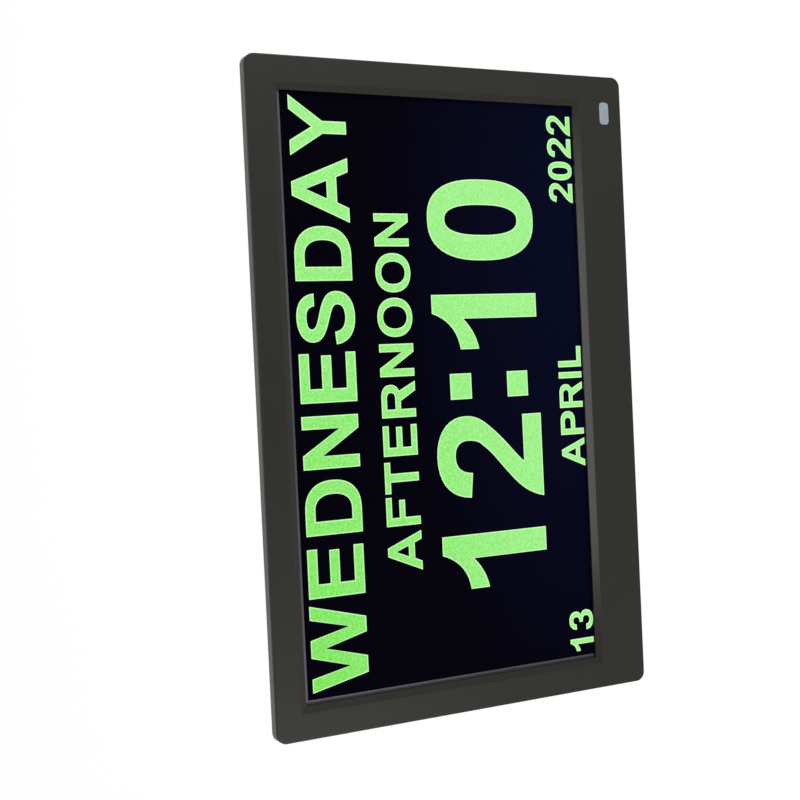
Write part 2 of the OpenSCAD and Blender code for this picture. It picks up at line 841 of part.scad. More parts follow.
module port_cuts() {
    x0 = tub_x - wall - cut;
    x1 = tub_x + cut;
    translate([x0, jack_axis_y, jack_z])
        rotate([0, 90, 0])
            cylinder(r = jack_r + 1.2, h = x1 - x0, $fn = 48);
    box(x0, x1, board_back - port_gap / 2, board_back + usb_size[1] + port_gap / 2,
        usb_z - usb_size[2] / 2 - port_gap / 2, usb_z + usb_size[2] / 2 + port_gap / 2);
    box(x0, x1, board_back, board_back + card_size[1] + port_gap / 2,
        card_z - card_size[2] / 2 + 1, card_z + card_size[2] / 2 - 1);
}

module case_screw_seats() {
    for (x = case_screw_xs)
        bar_y(x, case_screw_z, case_boss_r + 0.6, seat_y, flange_y - layer);
}

module case_screw_cuts() {
    for (x = case_screw_xs) {
        bar_y(x, case_screw_z, case_screw_r + screw_play, seat_y - cut, flange_y + cut);
        bar_y(x, case_screw_z, case_head_r + screw_play, screw_head_y, flange_y + cut);
    }
}

// A groove in the flange that lets the receiver's wires pass behind the screen
module wire_channel() {
    box(channel_x0, channel_x1, flange_in - cut, flange_in + channel_d,
        module_z0 - channel_run, tub_z0 + wall + channel_lead);
}

module rear_cover() {
    color("#2f2f2d")
        leaned()
            difference() {
                union() {
                    difference() {
                        cover_skin();
                        cover_cavity();
                        hook_windows();
                        for (s = [-1, 1])
                            wall_hole(s * wall_pitch / 2);
                    }
                    recess_walls();
                    case_screw_seats();
                    cover_posts();
                    for (s = [-1, 1])
                        wall_pocket(s * wall_pitch / 2);
                }
                leg_space();
                at_hinge()
                    bar_x(pin_r, -recess_x - lug_t + 1, recess_x + lug_t - 1);
                case_screw_cuts();
                wire_channel();
                vent_slots();
                speaker_slots();
                port_cuts();
                for (x = key_xs)
                    along_y(back_y - cut, case_d + cut)
                        polygon(stadium(x, key_z, key_w + 2 * key_gap, key_h + 2 * key_gap));
            }
}

module case_feet() {
    top_y = side_y + 3;
    lip = 0.7;
    y0 = side_y - 2.2;
    y1 = top_y + 0.2;
    color("#1d1d1d")
        leaned()
            for (s = [-1, 1])
                along_x(s * foot_x - foot_w / 2, s * foot_x + foot_w / 2)
                    polygon([[y0, 0], [side_y, 0], [top_y, top_y - side_y],
                             [top_y + lip, top_y - side_y - lip], [y1, floor_z(y1)], [y0, floor_z(y0)]]);
}

module case_screws() {
    color("#4a4a4a")
        leaned()
            for (x = case_screw_xs)
                translate([x, screw_head_y, case_screw_z])
                    rotate([-90, 0, 0])
                        pan_screw(case_head_r, head_t, case_screw_r, screw_head_y - shank_tip);
}

// ---- Screen module ----

module screen_gasket() {
    over = 0.7;
    color("#161616")
        leaned()
            difference() {
                box(module_x0 + 0.5, module_x1 - 0.5, plate_t, module_y, module_z0 + 0.5, module_z1 - 0.5);
                box(min(window_x0, -opening_x) - over, max(window_x1, opening_x) + over,
                    plate_t - cut, module_y + cut,
                    min(window_z0, opening_z0) - over, max(window_z1, opening_z1) + over);
            }
}

module lcd_frame() {
    color("#8d9094")
        leaned()
            difference() {
                box(module_x0, module_x1, module_y, tray_y, module_z0, module_z1);
                box(module_x0 + sheet_t, module_x1 - sheet_t, panel_y, tray_y + cut,
                    module_z0 + sheet_t, module_z1 - sheet_t);
                box(window_x0, window_x1, module_y - cut, panel_y + cut, window_z0, window_z1);
            }
}

module lcd_panel() {
    color("#05060a")
        leaned()
            box(module_x0 + tray_in, module_x1 - tray_in, panel_y, film_y,
                module_z0 + tray_in, module_z1 - tray_in);
}

module film_stack() {
    color("#e9ecee")
        leaned()
            box(module_x0 + tray_in, module_x1 - tray_in, film_y, guide_y,
                module_z0 + tray_in, module_z1 - tray_in);
}

module light_guide() {
    color("#dfe8f2")
        leaned()
            box(module_x0 + tray_in, module_x1 - tray_in, guide_y, reflector_y,
                module_z0 + tray_in + strip_h, module_z1 - tray_in);
}

module led_strip() {
    x0 = module_x0 + tray_in;
    z0 = module_z0 + tray_in;
    pitch = (module_x1 - module_x0 - 2 * tray_in) / led_n;
    led_w = 3;
    color("#f4efcf")
        leaned()
            union() {
                box(x0, module_x1 - tray_in, guide_y, reflector_y, z0, z0 + strip_board_t);
                for (i = [0:led_n - 1])
                    box(x0 + (i + 0.5) * pitch - led_w / 2, x0 + (i + 0.5) * pitch + led_w / 2,
                        guide_y + 0.3, reflector_y - 0.3, z0 + strip_board_t / 2, z0 + strip_h - 0.05);
            }
}

module reflector_sheet() {
    color("#f2f2ee")
        leaned()
            box(module_x0 + tray_in, module_x1 - tray_in, reflector_y, tray_y,
                module_z0 + tray_in, module_z1 - tray_in);
}

// The tray's walls stand inside the frame's skirt
module backlight_tray() {
    a = sheet_t + sheet_gap;
    b = tray_in - sheet_gap;
    color("#a9abae")
        leaned()
            difference() {
                union() {
                    box(module_x0 + a, module_x1 - a, panel_y + 0.1, tray_y + layer,
                        module_z0 + a, module_z1 - a);
                    box(module_x0, module_x1, tray_y, module_back, module_z0, module_z1);
                }
                box(module_x0 + b, module_x1 - b, panel_y - cut, tray_y, module_z0 + b, module_z1 - b);
            }
}

// Foam between the screen module and the cover's flange
module screen_pads() {
    x0 = tub_x - wall + pad_in;
    color("#1b1b1b")
        leaned() {
            for (z = [0.25, 0.75], s = [-1, 1]) {
                zc = module_z0 + z * (module_z1 - module_z0);
                xo = s < 0 ? -module_x0 : module_x1;
                scale_x(s)
                    box(x0, xo - pad_out, module_back, flange_in, zc - pad_half, zc + pad_half);
            }
        }
}

module driver_board() {
    color("#2c5a33")
        leaned()
            box(driver_x0, driver_x1, driver_y, driver_y + driver_t, driver_z0, driver_z1);
}

module lcd_ribbon() {
    y0 = driver_y + driver_t + low_plug_h / 2;
    y1 = board_back + plug_h / 2;
    low = driver_z0 - 0.8;
    bend = 0.6;
    color("#c98b2e")
        leaned()
            along_x(lcd_plug_x - lcd_ribbon_w / 2, lcd_plug_x + lcd_ribbon_w / 2)
                polygon(strip([[y0, driver_plug_z], [y0, low + bend], [y0 + bend, low],
                               [y1 - bend, low], [y1, low + bend], [y1, board_z + plug_edge]],
                              ribbon_t));
}

// ---- Electronics ----

module drilled_board(x0, x1, y0, z0, z1, holes, hole_r) {
    difference() {
        box(x0, x1, y0, y0 + board_t, z0, z1);
        for (p = holes)
            bar_y(p[0], p[1], hole_r, y0 - cut, y0 + board_t + cut);
    }
}

module main_board() {
    color("#1f5b34")
        leaned()
            drilled_board(board_x0, board_x1, board_y, board_z, board_z1, board_bosses,
                          board_screw_r + 0.2);
}

// A part that stands on the main board's back, centred at x and z from the board's corner
module on_board(x, z, w, h, t) {
    box(board_x0 + x - w / 2, board_x0 + x + w / 2, board_back, board_back + t,
        board_z + z - h / 2, board_z + z + h / 2);
}

// Processor, memory, storage, inductor, regulator and three capacitors
module board_chips() {
    color("#202226")
        leaned() {
            for (c = chips)
                on_board(c[0], c[1], c[2], c[3], c[4]);
            for (p = capacitors)
                bar_y(board_x0 + p[0], board_z + p[1], capacitor_r, board_back,
                      board_back + capacitor_h);
        }
}

// Plugs for the screen, keys, speaker and receiver, and one on each of the two small boards
module connectors() {
    lcd_w = lcd_ribbon_w + 4;
    key_plug_w = key_ribbon_w + 2;
    color("#e8e4d6")
        leaned() {
            on_board(lcd_plug_x - board_x0, plug_edge + plug_d / 2, lcd_w, plug_d, plug_h);
            on_board(key_plug_x - board_x0, board_h - key_plug_drop - plug_d / 2,
                     key_plug_w, plug_d, plug_h);
            on_board(plug_edge + plug_d / 2, speaker_plug_z, plug_d, speaker_plug_w, plug_h);
            on_board(ir_plug_x, plug_edge + ir_plug_size[2] / 2, ir_plug_size[0], ir_plug_size[2], plug_h);
            box(lcd_plug_x - lcd_w / 2, lcd_plug_x + lcd_w / 2, driver_y + driver_t,
                driver_y + driver_t + low_plug_h, driver_plug_z, driver_plug_z + plug_d);
            box(key_plug_x - key_plug_w / 2, key_plug_x + key_plug_w / 2, key_board_y - low_plug_h,
                key_board_y, key_plug_z, key_plug_z + plug_d - plug_edge);
        }
}

module cell_holder() {
    base = holder_t;
    color("#2a2a2a")
        leaned()
            difference() {
                bar_y(cell_x, cell_z, cell_r + holder_wall, board_back,
                      board_back + base + cell_t * 0.6);
                bar_y(cell_x, cell_z, cell_r + 0.1, board_back + base, board_back + cell_t * 2);
                box(cell_x - 5, cell_x + 5, board_back + base, board_back + cell_t * 2,
                    cell_z, cell_z + cell_r * 2);
            }
}

module backup_cell() {
    rim = 0.8;
    color("#b9bbbd")
        leaned()
            union() {
                bar_y(cell_x, cell_z, cell_r - rim, board_back + holder_t, board_back + holder_t + cell_t);
                bar_y(cell_x, cell_z, cell_r, board_back + holder_t + 0.4, board_back + holder_t + cell_t);
            }
}

// Power inlet: a block with a snout that fills the cover's hole, round a centre pin
module dc_jack() {
    x0 = port_x1 - jack_size[0];
    x1 = tub_x - 0.1;
    color("#1b1b1b")
        leaned()
            union() {
                difference() {
                    union() {
                        box(x0, port_x1, board_back, board_back + jack_size[1],
                            jack_z - jack_size[2] / 2, jack_z + jack_size[2] / 2);
                        jack_bar(jack_r + 1, port_x1 - cut, x1);
                    }
                    jack_bar(jack_r, x1 - jack_depth, x1 + cut);
                }
                jack_bar(jack_pin_r, x1 - jack_depth - 0.5, x1 - jack_depth + jack_pin_l);
            }
}

// A round bar along x, on the power inlet's axis
module jack_bar(r, x0, x1) {
    translate([x0, jack_axis_y, jack_z])
        rotate([0, 90, 0])
            cylinder(r = r, h = x1 - x0, $fn = 48);
}

module usb_port() {
    x0 = port_x1 - usb_size[0];
    x1 = tub_x - 0.4;
    y1 = board_back + usb_size[1];
    z0 = usb_z - usb_size[2] / 2;
    z1 = usb_z + usb_size[2] / 2;
    color("#c9cbce")
        leaned()
            union() {
                difference() {
                    box(x0, x1, board_back, y1, z0, z1);
                    box(x0 + 2, x1 + cut, board_back + usb_wall, y1 - usb_wall,
                        z0 + usb_wall, z1 - usb_wall);
                }
                box(x0 + 1, x1 - 1, board_back + 1.5, board_back + 3.3, z0 + 1.6, z1 - 1.6);
            }
}

module card_slot() {
    x0 = port_x1 - card_size[0];
    z0 = card_z - card_size[2] / 2;
    z1 = card_z + card_size[2] / 2;
    color("#c2c4c7")
        leaned()
            difference() {
                box(x0, port_x1, board_back, board_back + card_size[1], z0, z1);
                box(x0 + 2, port_x1 + cut, board_back + card_wall, board_back + card_size[1] - card_wall,
                    z0 + 1.8, z1 - 1.8);
            }
}

module key_board() {
    color("#22603a")
        leaned()
            drilled_board(-key_board_x, key_board_x, key_board_y, key_board_z0, key_board_z1,
                          [[-key_screw_x, key_z], [key_screw_x, key_z]], board_screw_r + 0.2);
}

module key_switches() {
    color("#b4b6b8")
        leaned()
            for (x = key_xs)
                difference() {
                    box(x - switch_w / 2, x + switch_w / 2, switch_y, switch_y + switch_h,
                        key_z - switch_w / 2, key_z + switch_w / 2);
                    bar_y(x, key_z, plunger_r + pin_play,
                          switch_y + switch_h - plunger_sink - key_travel - 0.1,
                          switch_y + switch_h + cut);
                }
}

module key_ribbon() {
    y0 = key_board_y - low_plug_h / 2;
    y1 = board_back + plug_h / 2;
    z1 = board_z1 - key_plug_drop;
    rise = key_plug_z - z1;
    slack = 0.8;
    bend = 0.3;
    color("#c98b2e")
        leaned()
            along_x(key_plug_x - key_ribbon_w / 2, key_plug_x + key_ribbon_w / 2)
                polygon(strip([[y0, key_plug_z], [y0 - slack, key_plug_z - rise * bend],
                               [y1 - slack, z1 + rise * bend], [y1, z1]], ribbon_t));
}

// Infrared receiver on its own small board, staked to two posts behind the window
module ir_board() {
    color("#1f5b34")
        leaned()
            difference() {
                box(ir_x - ir_board_w / 2, ir_x + ir_board_w / 2, ir_board_y, ir_board_y + ir_board_t,
                    ir_z - ir_board_h / 2, ir_z + ir_board_h / 2);
                for (s = [-1, 1])
                    bar_y(ir_x + s * ir_post_x, ir_z, ir_pin_r + 0.05, ir_board_y - cut,
                          ir_board_y + ir_board_t + cut);
            }
}

module ir_receiver() {
    body_y = 2.8;
    dome_r = 1.6;
    color("#141416")
        leaned()
            union() {
                box(ir_x - 3, ir_x + 3, ir_board_y - body_y, ir_board_y, ir_z - 2.5, ir_z + 2.5);
                translate([ir_x, ir_board_y - dome_r, ir_z])
                    sphere(r = dome_r, $fn = 32);
            }
}

// Three wires that leave the board's side, turn up behind the screen and reach their plug
module ir_wires() {
    x0 = ir_x - ir_board_w / 2;
    y0 = ir_board_y + ir_board_t / 2;
    z0 = ir_z - ir_wire_pitch;
    up_x = channel_x0 + 1.2;
    up_y = flange_in + channel_d / 2;
    plug_y = board_back + plug_h / 2;
    plug_x = board_x0 + ir_plug_x - ir_wire_pitch;
    color("#8a2f2a")
        leaned()
            for (i = [0:2]) {
                s = i * ir_wire_pitch;
                wire([[x0, y0, z0 + s], [up_x + s + 1.5, y0, z0 + s],
                      [up_x + s, up_y, module_z0 - 1], [up_x + s, up_y, tub_z0 + wall + 2],
                      [up_x + s - 1.5, board_y + 1, board_z - 8],
                      [plug_x + s, plug_y, board_z - 3.5], [plug_x + s, plug_y, board_z + plug_edge]],
                     ir_wire_r);
            }
}

// ---- Speaker ----

module speaker_frame() {
    ear = 2.6;
    color("#26282b")
        leaned()
            difference() {
                union() {
                    bar_y(speaker_x, speaker_z, speaker_r, speaker_y0, back_y);
                    box(speaker_x - speaker_ear_x - ear, speaker_x + speaker_ear_x + ear,
                        speaker_ear_y, speaker_ear_y + speaker_ear_t, speaker_z - ear, speaker_z + ear);
                }
                bar_y(speaker_x, speaker_z, speaker_r - speaker_wall, speaker_y0 + 1, back_y + cut);
                bar_y(speaker_x, speaker_z, magnet_r - 2, speaker_y0 - cut, back_y);
                for (s = [-1, 1])
                    bar_y(speaker_x + s * speaker_ear_x, speaker_z, speaker_screw_r + 0.2,
                          speaker_ear_y - cut, speaker_ear_y + speaker_ear_t + cut);
            }
}

module speaker_cone() {
    rim = speaker_r - speaker_wall;
    depth = speaker_d - 1.6;
    t = 0.4;
    color("#3a3a3d")
        leaned()
            translate([speaker_x, back_y - 0.4, speaker_z])
                rotate([90, 0, 0])
                    rotate_extrude($fn = 96)
                        polygon([[rim, 0], [rim, t], [rim - 1.5, t], [rim * 0.45, depth],
                                 [0, depth - 1.2], [0, depth - 1.2 - t], [rim * 0.45, depth - t * 1.6],
                                 [rim - 1.8, 0]]);
}

module speaker_magnet() {
    color("#6d6f73")
        leaned()
            bar_y(speaker_x, speaker_z, magnet_r, speaker_y0 - magnet_t, speaker_y0);
}

// Two wires that leave the frame's front and cross behind the screen to the main board
module speaker_wires() {
    x0 = speaker_x + speaker_r - 3;
    y0 = speaker_y0 - 2;
    z0 = speaker_z + 3;
    plug_y = board_back + plug_h / 2;
    plug_z = board_z + speaker_plug_z - wire_r * 1.4;
    color("#a33a30")
        leaned()
            for (i = [0, 1]) {
                s = i * wire_r * 2.8;
                wire([[x0, speaker_y0, z0 + s], [x0, y0, z0 + s],
                      [x0 + wire_out, y0 - 1, z0 + wire_rise + s],
                      [board_x0 - wire_sag_x, y0 - 1, plug_z - wire_sag_z + s],
                      [board_x0 - wire_lead, plug_y, plug_z + s],
                      [board_x0 + plug_edge, plug_y, plug_z + s]], wire_r);
            }
}

module speaker_screws() {
    color("#8b8d90")
        leaned()
            for (s = [-1, 1])
                translate([speaker_x + s * speaker_ear_x, speaker_ear_y, speaker_z])
                    rotate([90, 0, 0])
                        pan_screw(speaker_head_r, head_t, speaker_screw_r, speaker_ear_t + 2.4);
}

module board_screws() {
    color("#8b8d90")
        leaned() {
            for (p = board_bosses)
                translate([p[0], board_y, p[1]])
                    rotate([90, 0, 0])
                        pan_screw(board_head_r, head_t, board_screw_r, board_t + 3.6);
            for (s = [-1, 1])
                translate([s * key_screw_x, key_board_y, key_z])
                    rotate([90, 0, 0])
                        pan_screw(board_head_r, head_t, board_screw_r, board_t + 3.6);
        }
}

// ---- Stand ----

module leg_pin() {
    end = recess_x + lug_t - 1;
    color("#b9bcc0")
        leaned()
            at_hinge()
                bar_x(pin_r, -end, end);
}

module leg_washers() {
    color("#9a9da1")
        leaned()
            at_hinge()
                for (s = [-1, 1])
                    scale_x(s)
                        difference() {
                            bar_x(barrel_r, recess_x - washer_t, recess_x);
                            bar_x(pin_r, recess_x - washer_t - cut, recess_x + cut);
                        }
}

// Half of the leg's width at a height below the hinge
function leg_half(z) =
    let (top = barrel_x - 0.5, start = -leg_shoulder)
    z > start ? top : top + (leg_foot_x - top) * (start - z) / (leg_l + start);

module leg_plate() {
    r = 4;
    top = leg_half(0);
    along_y(leg_front, leg_back)
        polygon(concat([[-top, heel_l], [-top, -leg_shoulder]],
                       arc(-leg_foot_x + r, -leg_l + r, r, 180, 270),
                       arc(leg_foot_x - r, -leg_l + r, r, -90, 0),
                       [[top, -leg_shoulder], [top, heel_l]]));
}

// Hollows in the leg's front, between its ribs
module leg_hollows() {
    z_top = -barrel_r - 3;
    z_end = -leg_l + leg_pad_h + 1;
    row = (z_top - z_end) / leg_rows;
    for (i = [0:leg_rows - 1], s = [-1, 1]) {
        a = z_top - i * row - leg_rib / 2;
        b = z_top - (i + 1) * row + leg_rib / 2;
        scale_x(s)
            along_y(leg_front - cut, leg_back - leg_skin)
                polygon([[leg_rib / 2, a], [leg_rib / 2, b],
                         [leg_half(b) - leg_rim, b], [leg_half(a) - leg_rim, a]]);
    }
}

// Places the leg as it stands, open
module on_leg() {
    leaned()
        at_hinge()
            rotate([leg_open, 0, 0])
                children();
}

module stand_leg() {
    color("#333331")
        on_leg()
            difference() {
                union() {
                    leg_plate();
                    bar_x(barrel_r, -barrel_x, barrel_x);
                }
                leg_hollows();
                bar_x(pin_r + pin_play, -barrel_x - cut, barrel_x + cut);
            }
}

module leg_foot() {
    top = -leg_l + leg_pad_h;
    w = leg_half(top) + leg_pad_t;
    color("#1b1b1b")
        on_leg()
            difference() {
                along_x(-w, w)
                    polygon([[pad_front, top], [pad_front, sole_z(pad_front)],
                             [pad_back, sole_z(pad_back)], [pad_back, top]]);
                leg_plate();
            }
}

// ---- Buttons ----

// A button's cap, with the inner flange that keeps it in the cover
module key_cap(i) {
    x = key_xs[i];
    ease = 0.5;
    top = case_d + key_proud;
    color("#454542")
        leaned()
            union() {
                along_y(key_base, key_seat)
                    polygon(stadium(x, key_z, key_w + 2 * key_flange, key_h + 2 * key_flange));
                along_y(key_seat - layer, top - ease)
                    polygon(stadium(x, key_z, key_w, key_h));
                hull() {
                    along_y(top - ease - layer, top - ease)
                        polygon(stadium(x, key_z, key_w, key_h));
                    along_y(top - layer, top)
                        polygon(stadium(x, key_z, key_w - 2 * ease, key_h - 2 * ease));
                }
            }
}

module key_plunger(i) {
    color("#26262a")
        leaned()
            bar_y(key_xs[i], key_z, plunger_r, key_base - plunger_out - plunger_sink, key_base);
}

module power_button() { key_cap(0); }
module menu_button() { key_cap(1); }
module up_button() { key_cap(2); }
module down_button() { key_cap(3); }
module left_button() { key_cap(4); }
module right_button() { key_cap(5); }
module exit_button() { key_cap(6); }
module power_plunger() { key_plunger(0); }
module menu_plunger() { key_plunger(1); }
module up_plunger() { key_plunger(2); }
module down_plunger() { key_plunger(3); }
module left_plunger() { key_plunger(4); }
module right_plunger() { key_plunger(5); }
module exit_plunger() { key_plunger(6); }

front_bezel();
rear_cover();
ir_window();
screen_gasket();
lcd_frame();
lcd_panel();
film_stack();
light_guide();
led_strip();
reflector_sheet();
backlight_tray();
screen_pads();
driver_board();
lcd_ribbon();
main_board();
board_chips();
connectors();
cell_holder();
backup_cell();
dc_jack();
usb_port();
card_slot();
key_board();
key_switches();
key_ribbon();
ir_board();
ir_receiver();
ir_wires();
speaker_frame();
speaker_cone();
speaker_magnet();
speaker_wires();
speaker_screws();
case_screws();
board_screws();
case_feet();
leg_pin();
leg_washers();
stand_leg();
leg_foot();
power_button();
menu_button();
up_button();
down_button();
left_button();
right_button();
exit_button();
power_plunger();
menu_plunger();
up_plunger();
down_plunger();
left_plunger();
right_plunger();
exit_plunger();
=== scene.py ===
"""A day clock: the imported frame, dressed with its lit readout, key symbols, nets and finishes."""

import json
import logging
import math
from dataclasses import dataclass, field
from enum import Enum
from typing import Any

import bmesh
import bpy
from mathutils import Matrix, Vector


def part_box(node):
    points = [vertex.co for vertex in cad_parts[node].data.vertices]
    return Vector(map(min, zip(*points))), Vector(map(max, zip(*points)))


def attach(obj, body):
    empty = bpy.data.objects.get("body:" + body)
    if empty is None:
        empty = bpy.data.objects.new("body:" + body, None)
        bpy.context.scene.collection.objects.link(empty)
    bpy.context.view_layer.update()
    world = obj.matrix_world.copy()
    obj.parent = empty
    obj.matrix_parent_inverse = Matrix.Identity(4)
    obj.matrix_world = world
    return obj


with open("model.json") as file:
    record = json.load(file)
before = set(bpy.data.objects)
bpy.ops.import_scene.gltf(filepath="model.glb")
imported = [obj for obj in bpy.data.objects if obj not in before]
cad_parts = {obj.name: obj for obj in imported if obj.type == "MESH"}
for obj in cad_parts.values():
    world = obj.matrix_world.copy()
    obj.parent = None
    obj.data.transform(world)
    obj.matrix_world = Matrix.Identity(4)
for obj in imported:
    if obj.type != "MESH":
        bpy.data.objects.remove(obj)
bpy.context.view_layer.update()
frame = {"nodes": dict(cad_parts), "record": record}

log = logging.getLogger("day_clock")

Point = tuple[float, float]
Triple = tuple[float, float, float]
Colour = Triple
Loop = list[Point]

MM = 0.001
ORIGIN = (0.0, 0.0, 0.0)
UNIT = (1.0, 1.0, 1.0)
# A band texture of scale 1 turns through this many radians in each metre
BAND_PHASE = 20.0
# Corners closer than this are one, in mm, and a corner's mitre is this short at most
MERGE = 1e-5
MITRE = 0.25
# Sides of a net's wire and of a rib, points along a rib, and how late its ends round off
WIRE_SIDES = 6
RIB_SIDES = 12
RIB_POINTS = 17
RIB_ROUNDING = 12.0
# The case leans back by this angle, and its upright frame starts here on the stand, in mm
LEAN = math.radians(15)
STAND_Y = -36.5401
STAND_Z = 2.4941
# The leg's hinge in the upright case, in mm, and the angle that the leg opens by
HINGE_Y = 19.0
HINGE_Z = 100.0
LEG_OPEN = math.radians(30)

UPRIGHT = (Matrix.Translation((0, STAND_Y * MM, STAND_Z * MM))
           @ Matrix.Rotation(-LEAN, 4, "X") @ Matrix.Scale(MM, 4))
ON_LEG = (UPRIGHT @ Matrix.Translation((0, HINGE_Y, HINGE_Z))
          @ Matrix.Rotation(LEG_OPEN, 4, "X"))


# ---- Node trees ----

class Wire:
    """A value's socket in a node tree, on which Python's operators add Math nodes."""

    def __init__(self, graph: "Graph", socket: bpy.types.NodeSocket) -> None:
        """Keeps the socket and the tree that it belongs to."""
        self.graph = graph
        self.socket = socket

    def math(self, operation: str, *values: Any) -> "Wire":
        """Adds one Math node on this socket and the given values."""
        sockets = dict(enumerate((self, *values)))
        return self.graph.wire("ShaderNodeMath", {"operation": operation}, sockets)

    def __add__(self, other: Any) -> "Wire":
        """This value plus another."""
        return self.math("ADD", other)

    __radd__ = __add__

    def __mul__(self, other: Any) -> "Wire":
        """This value times another."""
        return self.math("MULTIPLY", other)

    __rmul__ = __mul__

    def __sub__(self, other: Any) -> "Wire":
        """This value less another."""
        return self.math("SUBTRACT", other)

    def __rsub__(self, other: Any) -> "Wire":
        """Another value less this one."""
        return self * -1.0 + other

    def __truediv__(self, other: Any) -> "Wire":
        """This value over another."""
        return self.math("DIVIDE", other)

    def __rtruediv__(self, other: Any) -> "Wire":
        """Another value over this one."""
        return self ** -1.0 * other

    def __pow__(self, other: Any) -> "Wire":
        """This value to a power."""
        return self.math("POWER", other)

    def clamp(self) -> "Wire":
        """This value kept between 0 and 1."""
        return self.math("MAXIMUM", 0.0).math("MINIMUM", 1.0)


class Graph:
    """A shader or geometry node tree that is built by one method."""

    def __init__(self, tree: bpy.types.NodeTree) -> None:
        """Empties the tree."""
        self.tree = tree
        tree.nodes.clear()

    def node(self, kind: str, settings: dict[str, Any] | None = None,
             sockets: dict[Any, Any] | None = None) -> bpy.types.Node:
        """Adds a node.

        Args:
            kind: The node's type.
            settings: Its properties, set first.
            sockets: A value, a Wire or a socket for each input, by name or by index.

        Returns:
            The new node.
        """
        made = self.tree.nodes.new(kind)
        for name, value in (settings or {}).items():
            setattr(made, name, value)
        for key, value in (sockets or {}).items():
            target = made.inputs[key]
            source = value.socket if isinstance(value, Wire) else value
            if isinstance(source, bpy.types.NodeSocket):
                self.tree.links.new(source, target)
            else:
                target.default_value = source
        return made

    def wire(self, kind: str, settings: dict[str, Any] | None = None,
             sockets: dict[Any, Any] | None = None, output: Any = 0) -> Wire:
        """Adds a node and wraps one of its outputs.

        Args:
            kind: The node's type.
            settings: Its properties.
            sockets: Its inputs.
            output: The output's name or index.

        Returns:
            The output, ready for arithmetic.
        """
        return Wire(self, self.node(kind, settings, sockets).outputs[output])


class Paint(Graph):
    """A material's node tree, with the textures that the finishes share."""

    def __init__(self, name: str) -> None:
        """Starts a new material with an object-space coordinate.

        Args:
            name: The material's name.
        """
        self.material = bpy.data.materials.new(name)
        self.material.use_nodes = True
        super().__init__(self.material.node_tree)
        self.place = self.wire("ShaderNodeTexCoord", output="Object")

    def mapped(self, scale: Triple = UNIT, turn: Triple = ORIGIN,
               centre: Triple = ORIGIN) -> Wire:
        """Object coordinates, centred, turned and scaled by a Mapping node.

        Args:
            scale: Repeats per metre on each axis.
            turn: Angles in radians.
            centre: The pattern's centre in metres.

        Returns:
            The mapped coordinate.
        """
        return self.wire("ShaderNodeMapping", {"vector_type": "TEXTURE"}, {
            "Vector": self.place, "Location": centre, "Rotation": turn,
            "Scale": tuple(1.0 / s for s in scale)})

    def noise(self, scale: float, detail: float = 2.0, where: Wire | None = None,
              roughness: float = 0.5) -> Wire:
        """A noise value.

        Args:
            scale: Repeats per metre.
            detail: Octaves.
            where: The coordinate, or the object's own.
            roughness: How strong the fine octaves are.

        Returns:
            The noise, about 0.5 on average.
        """
        return self.wire("ShaderNodeTexNoise", {"normalize": True}, {
            "Vector": where or self.place, "Scale": scale, "Detail": detail,
            "Roughness": roughness}, "Fac")

    def blend(self, share: Any, first: Any, second: Any) -> Wire:
        """Mixes two colours.

        Args:
            share: The second one's share, from 0 to 1.
            first: The first colour.
            second: The second colour.

        Returns:
            The mix.
        """
        first, second = ((*c, 1.0) if isinstance(c, tuple) else c for c in (first, second))
        return self.wire("ShaderNodeMix", {"data_type": "RGBA", "clamp_factor": True},
                         {0: share, 6: first, 7: second}, 2)

    def away(self, centre: Triple, squeeze: Triple) -> Wire:
        """The distance from a place.

        Args:
            centre: The place in metres.
            squeeze: Each axis's weight.

        Returns:
            The distance in metres.
        """
        off = self.wire("ShaderNodeVectorMath", {"operation": "MULTIPLY"},
                        {0: self.mapped(centre=centre), 1: squeeze})
        return self.wire("ShaderNodeVectorMath", {"operation": "LENGTH"}, {0: off}, "Value")

    def bump(self, height: Wire, depth: float, strength: float = 1.0) -> Wire:
        """A normal from a height of the given depth in metres."""
        return self.wire("ShaderNodeBump", None, {
            "Height": height, "Distance": depth, "Strength": strength}, "Normal")

    def finish(self, **sockets: Any) -> bpy.types.Material:
        """Ends the material in a Principled shader.

        Args:
            sockets: Its inputs, with "_" for a space in their names.

        Returns:
            The finished material.
        """
        values = {name.replace("_", " ").replace("IOR level", "IOR Level"): value
                  for name, value in sockets.items()}
        shader = self.node("ShaderNodeBsdfPrincipled", None, values)
        self.node("ShaderNodeOutputMaterial", None, {"Surface": shader.outputs[0]})
        return self.material


# ---- Finishes ----

@dataclass(frozen=True)
class Moulded:
    """Moulded plastic with a fine spark-eroded grain, faint flow marks and handling sheen."""

    colour: Colour
    roughness: float = 0.42
    specular: float = 0.5
    grain_per_m: float = 4200.0
    grain_depth: float = 0.000012
    pits_to_grain: float = 0.31
    flow_per_m: float = 14.0
    flow_stretch: Triple = (1.0, 2.4, 0.7)
    drift: float = 0.14

    def dress(self, name: str) -> bpy.types.Material:
        """Makes the finish.

        Args:
            name: The material's name.

        Returns:
            The material.
        """
        p = Paint(name)
        flow = p.noise(self.flow_per_m, 3.0, p.mapped(self.flow_stretch))
        grain = p.noise(self.grain_per_m, 1.0)
        pits = p.noise(self.grain_per_m * self.pits_to_grain)
        dark = tuple(c * (1 - self.drift) for c in self.colour)
        pale = tuple(c * (1 + self.drift) for c in self.colour)
        shade = (flow * 0.7 + pits * 0.3).clamp()
        return p.finish(
            Base_Color=p.blend(shade, dark, pale),
            Roughness=self.sheen(p, flow * 0.10 + grain * 0.08 + (self.roughness - 0.09)),
            Specular_IOR_Level=self.specular,
            Normal=p.bump(grain * 0.65 + pits * 0.35, self.grain_depth))

    def sheen(self, p: Paint, even: Wire) -> Wire:
        """The roughness over the surface, which a finish of one kind leaves even."""
        return even


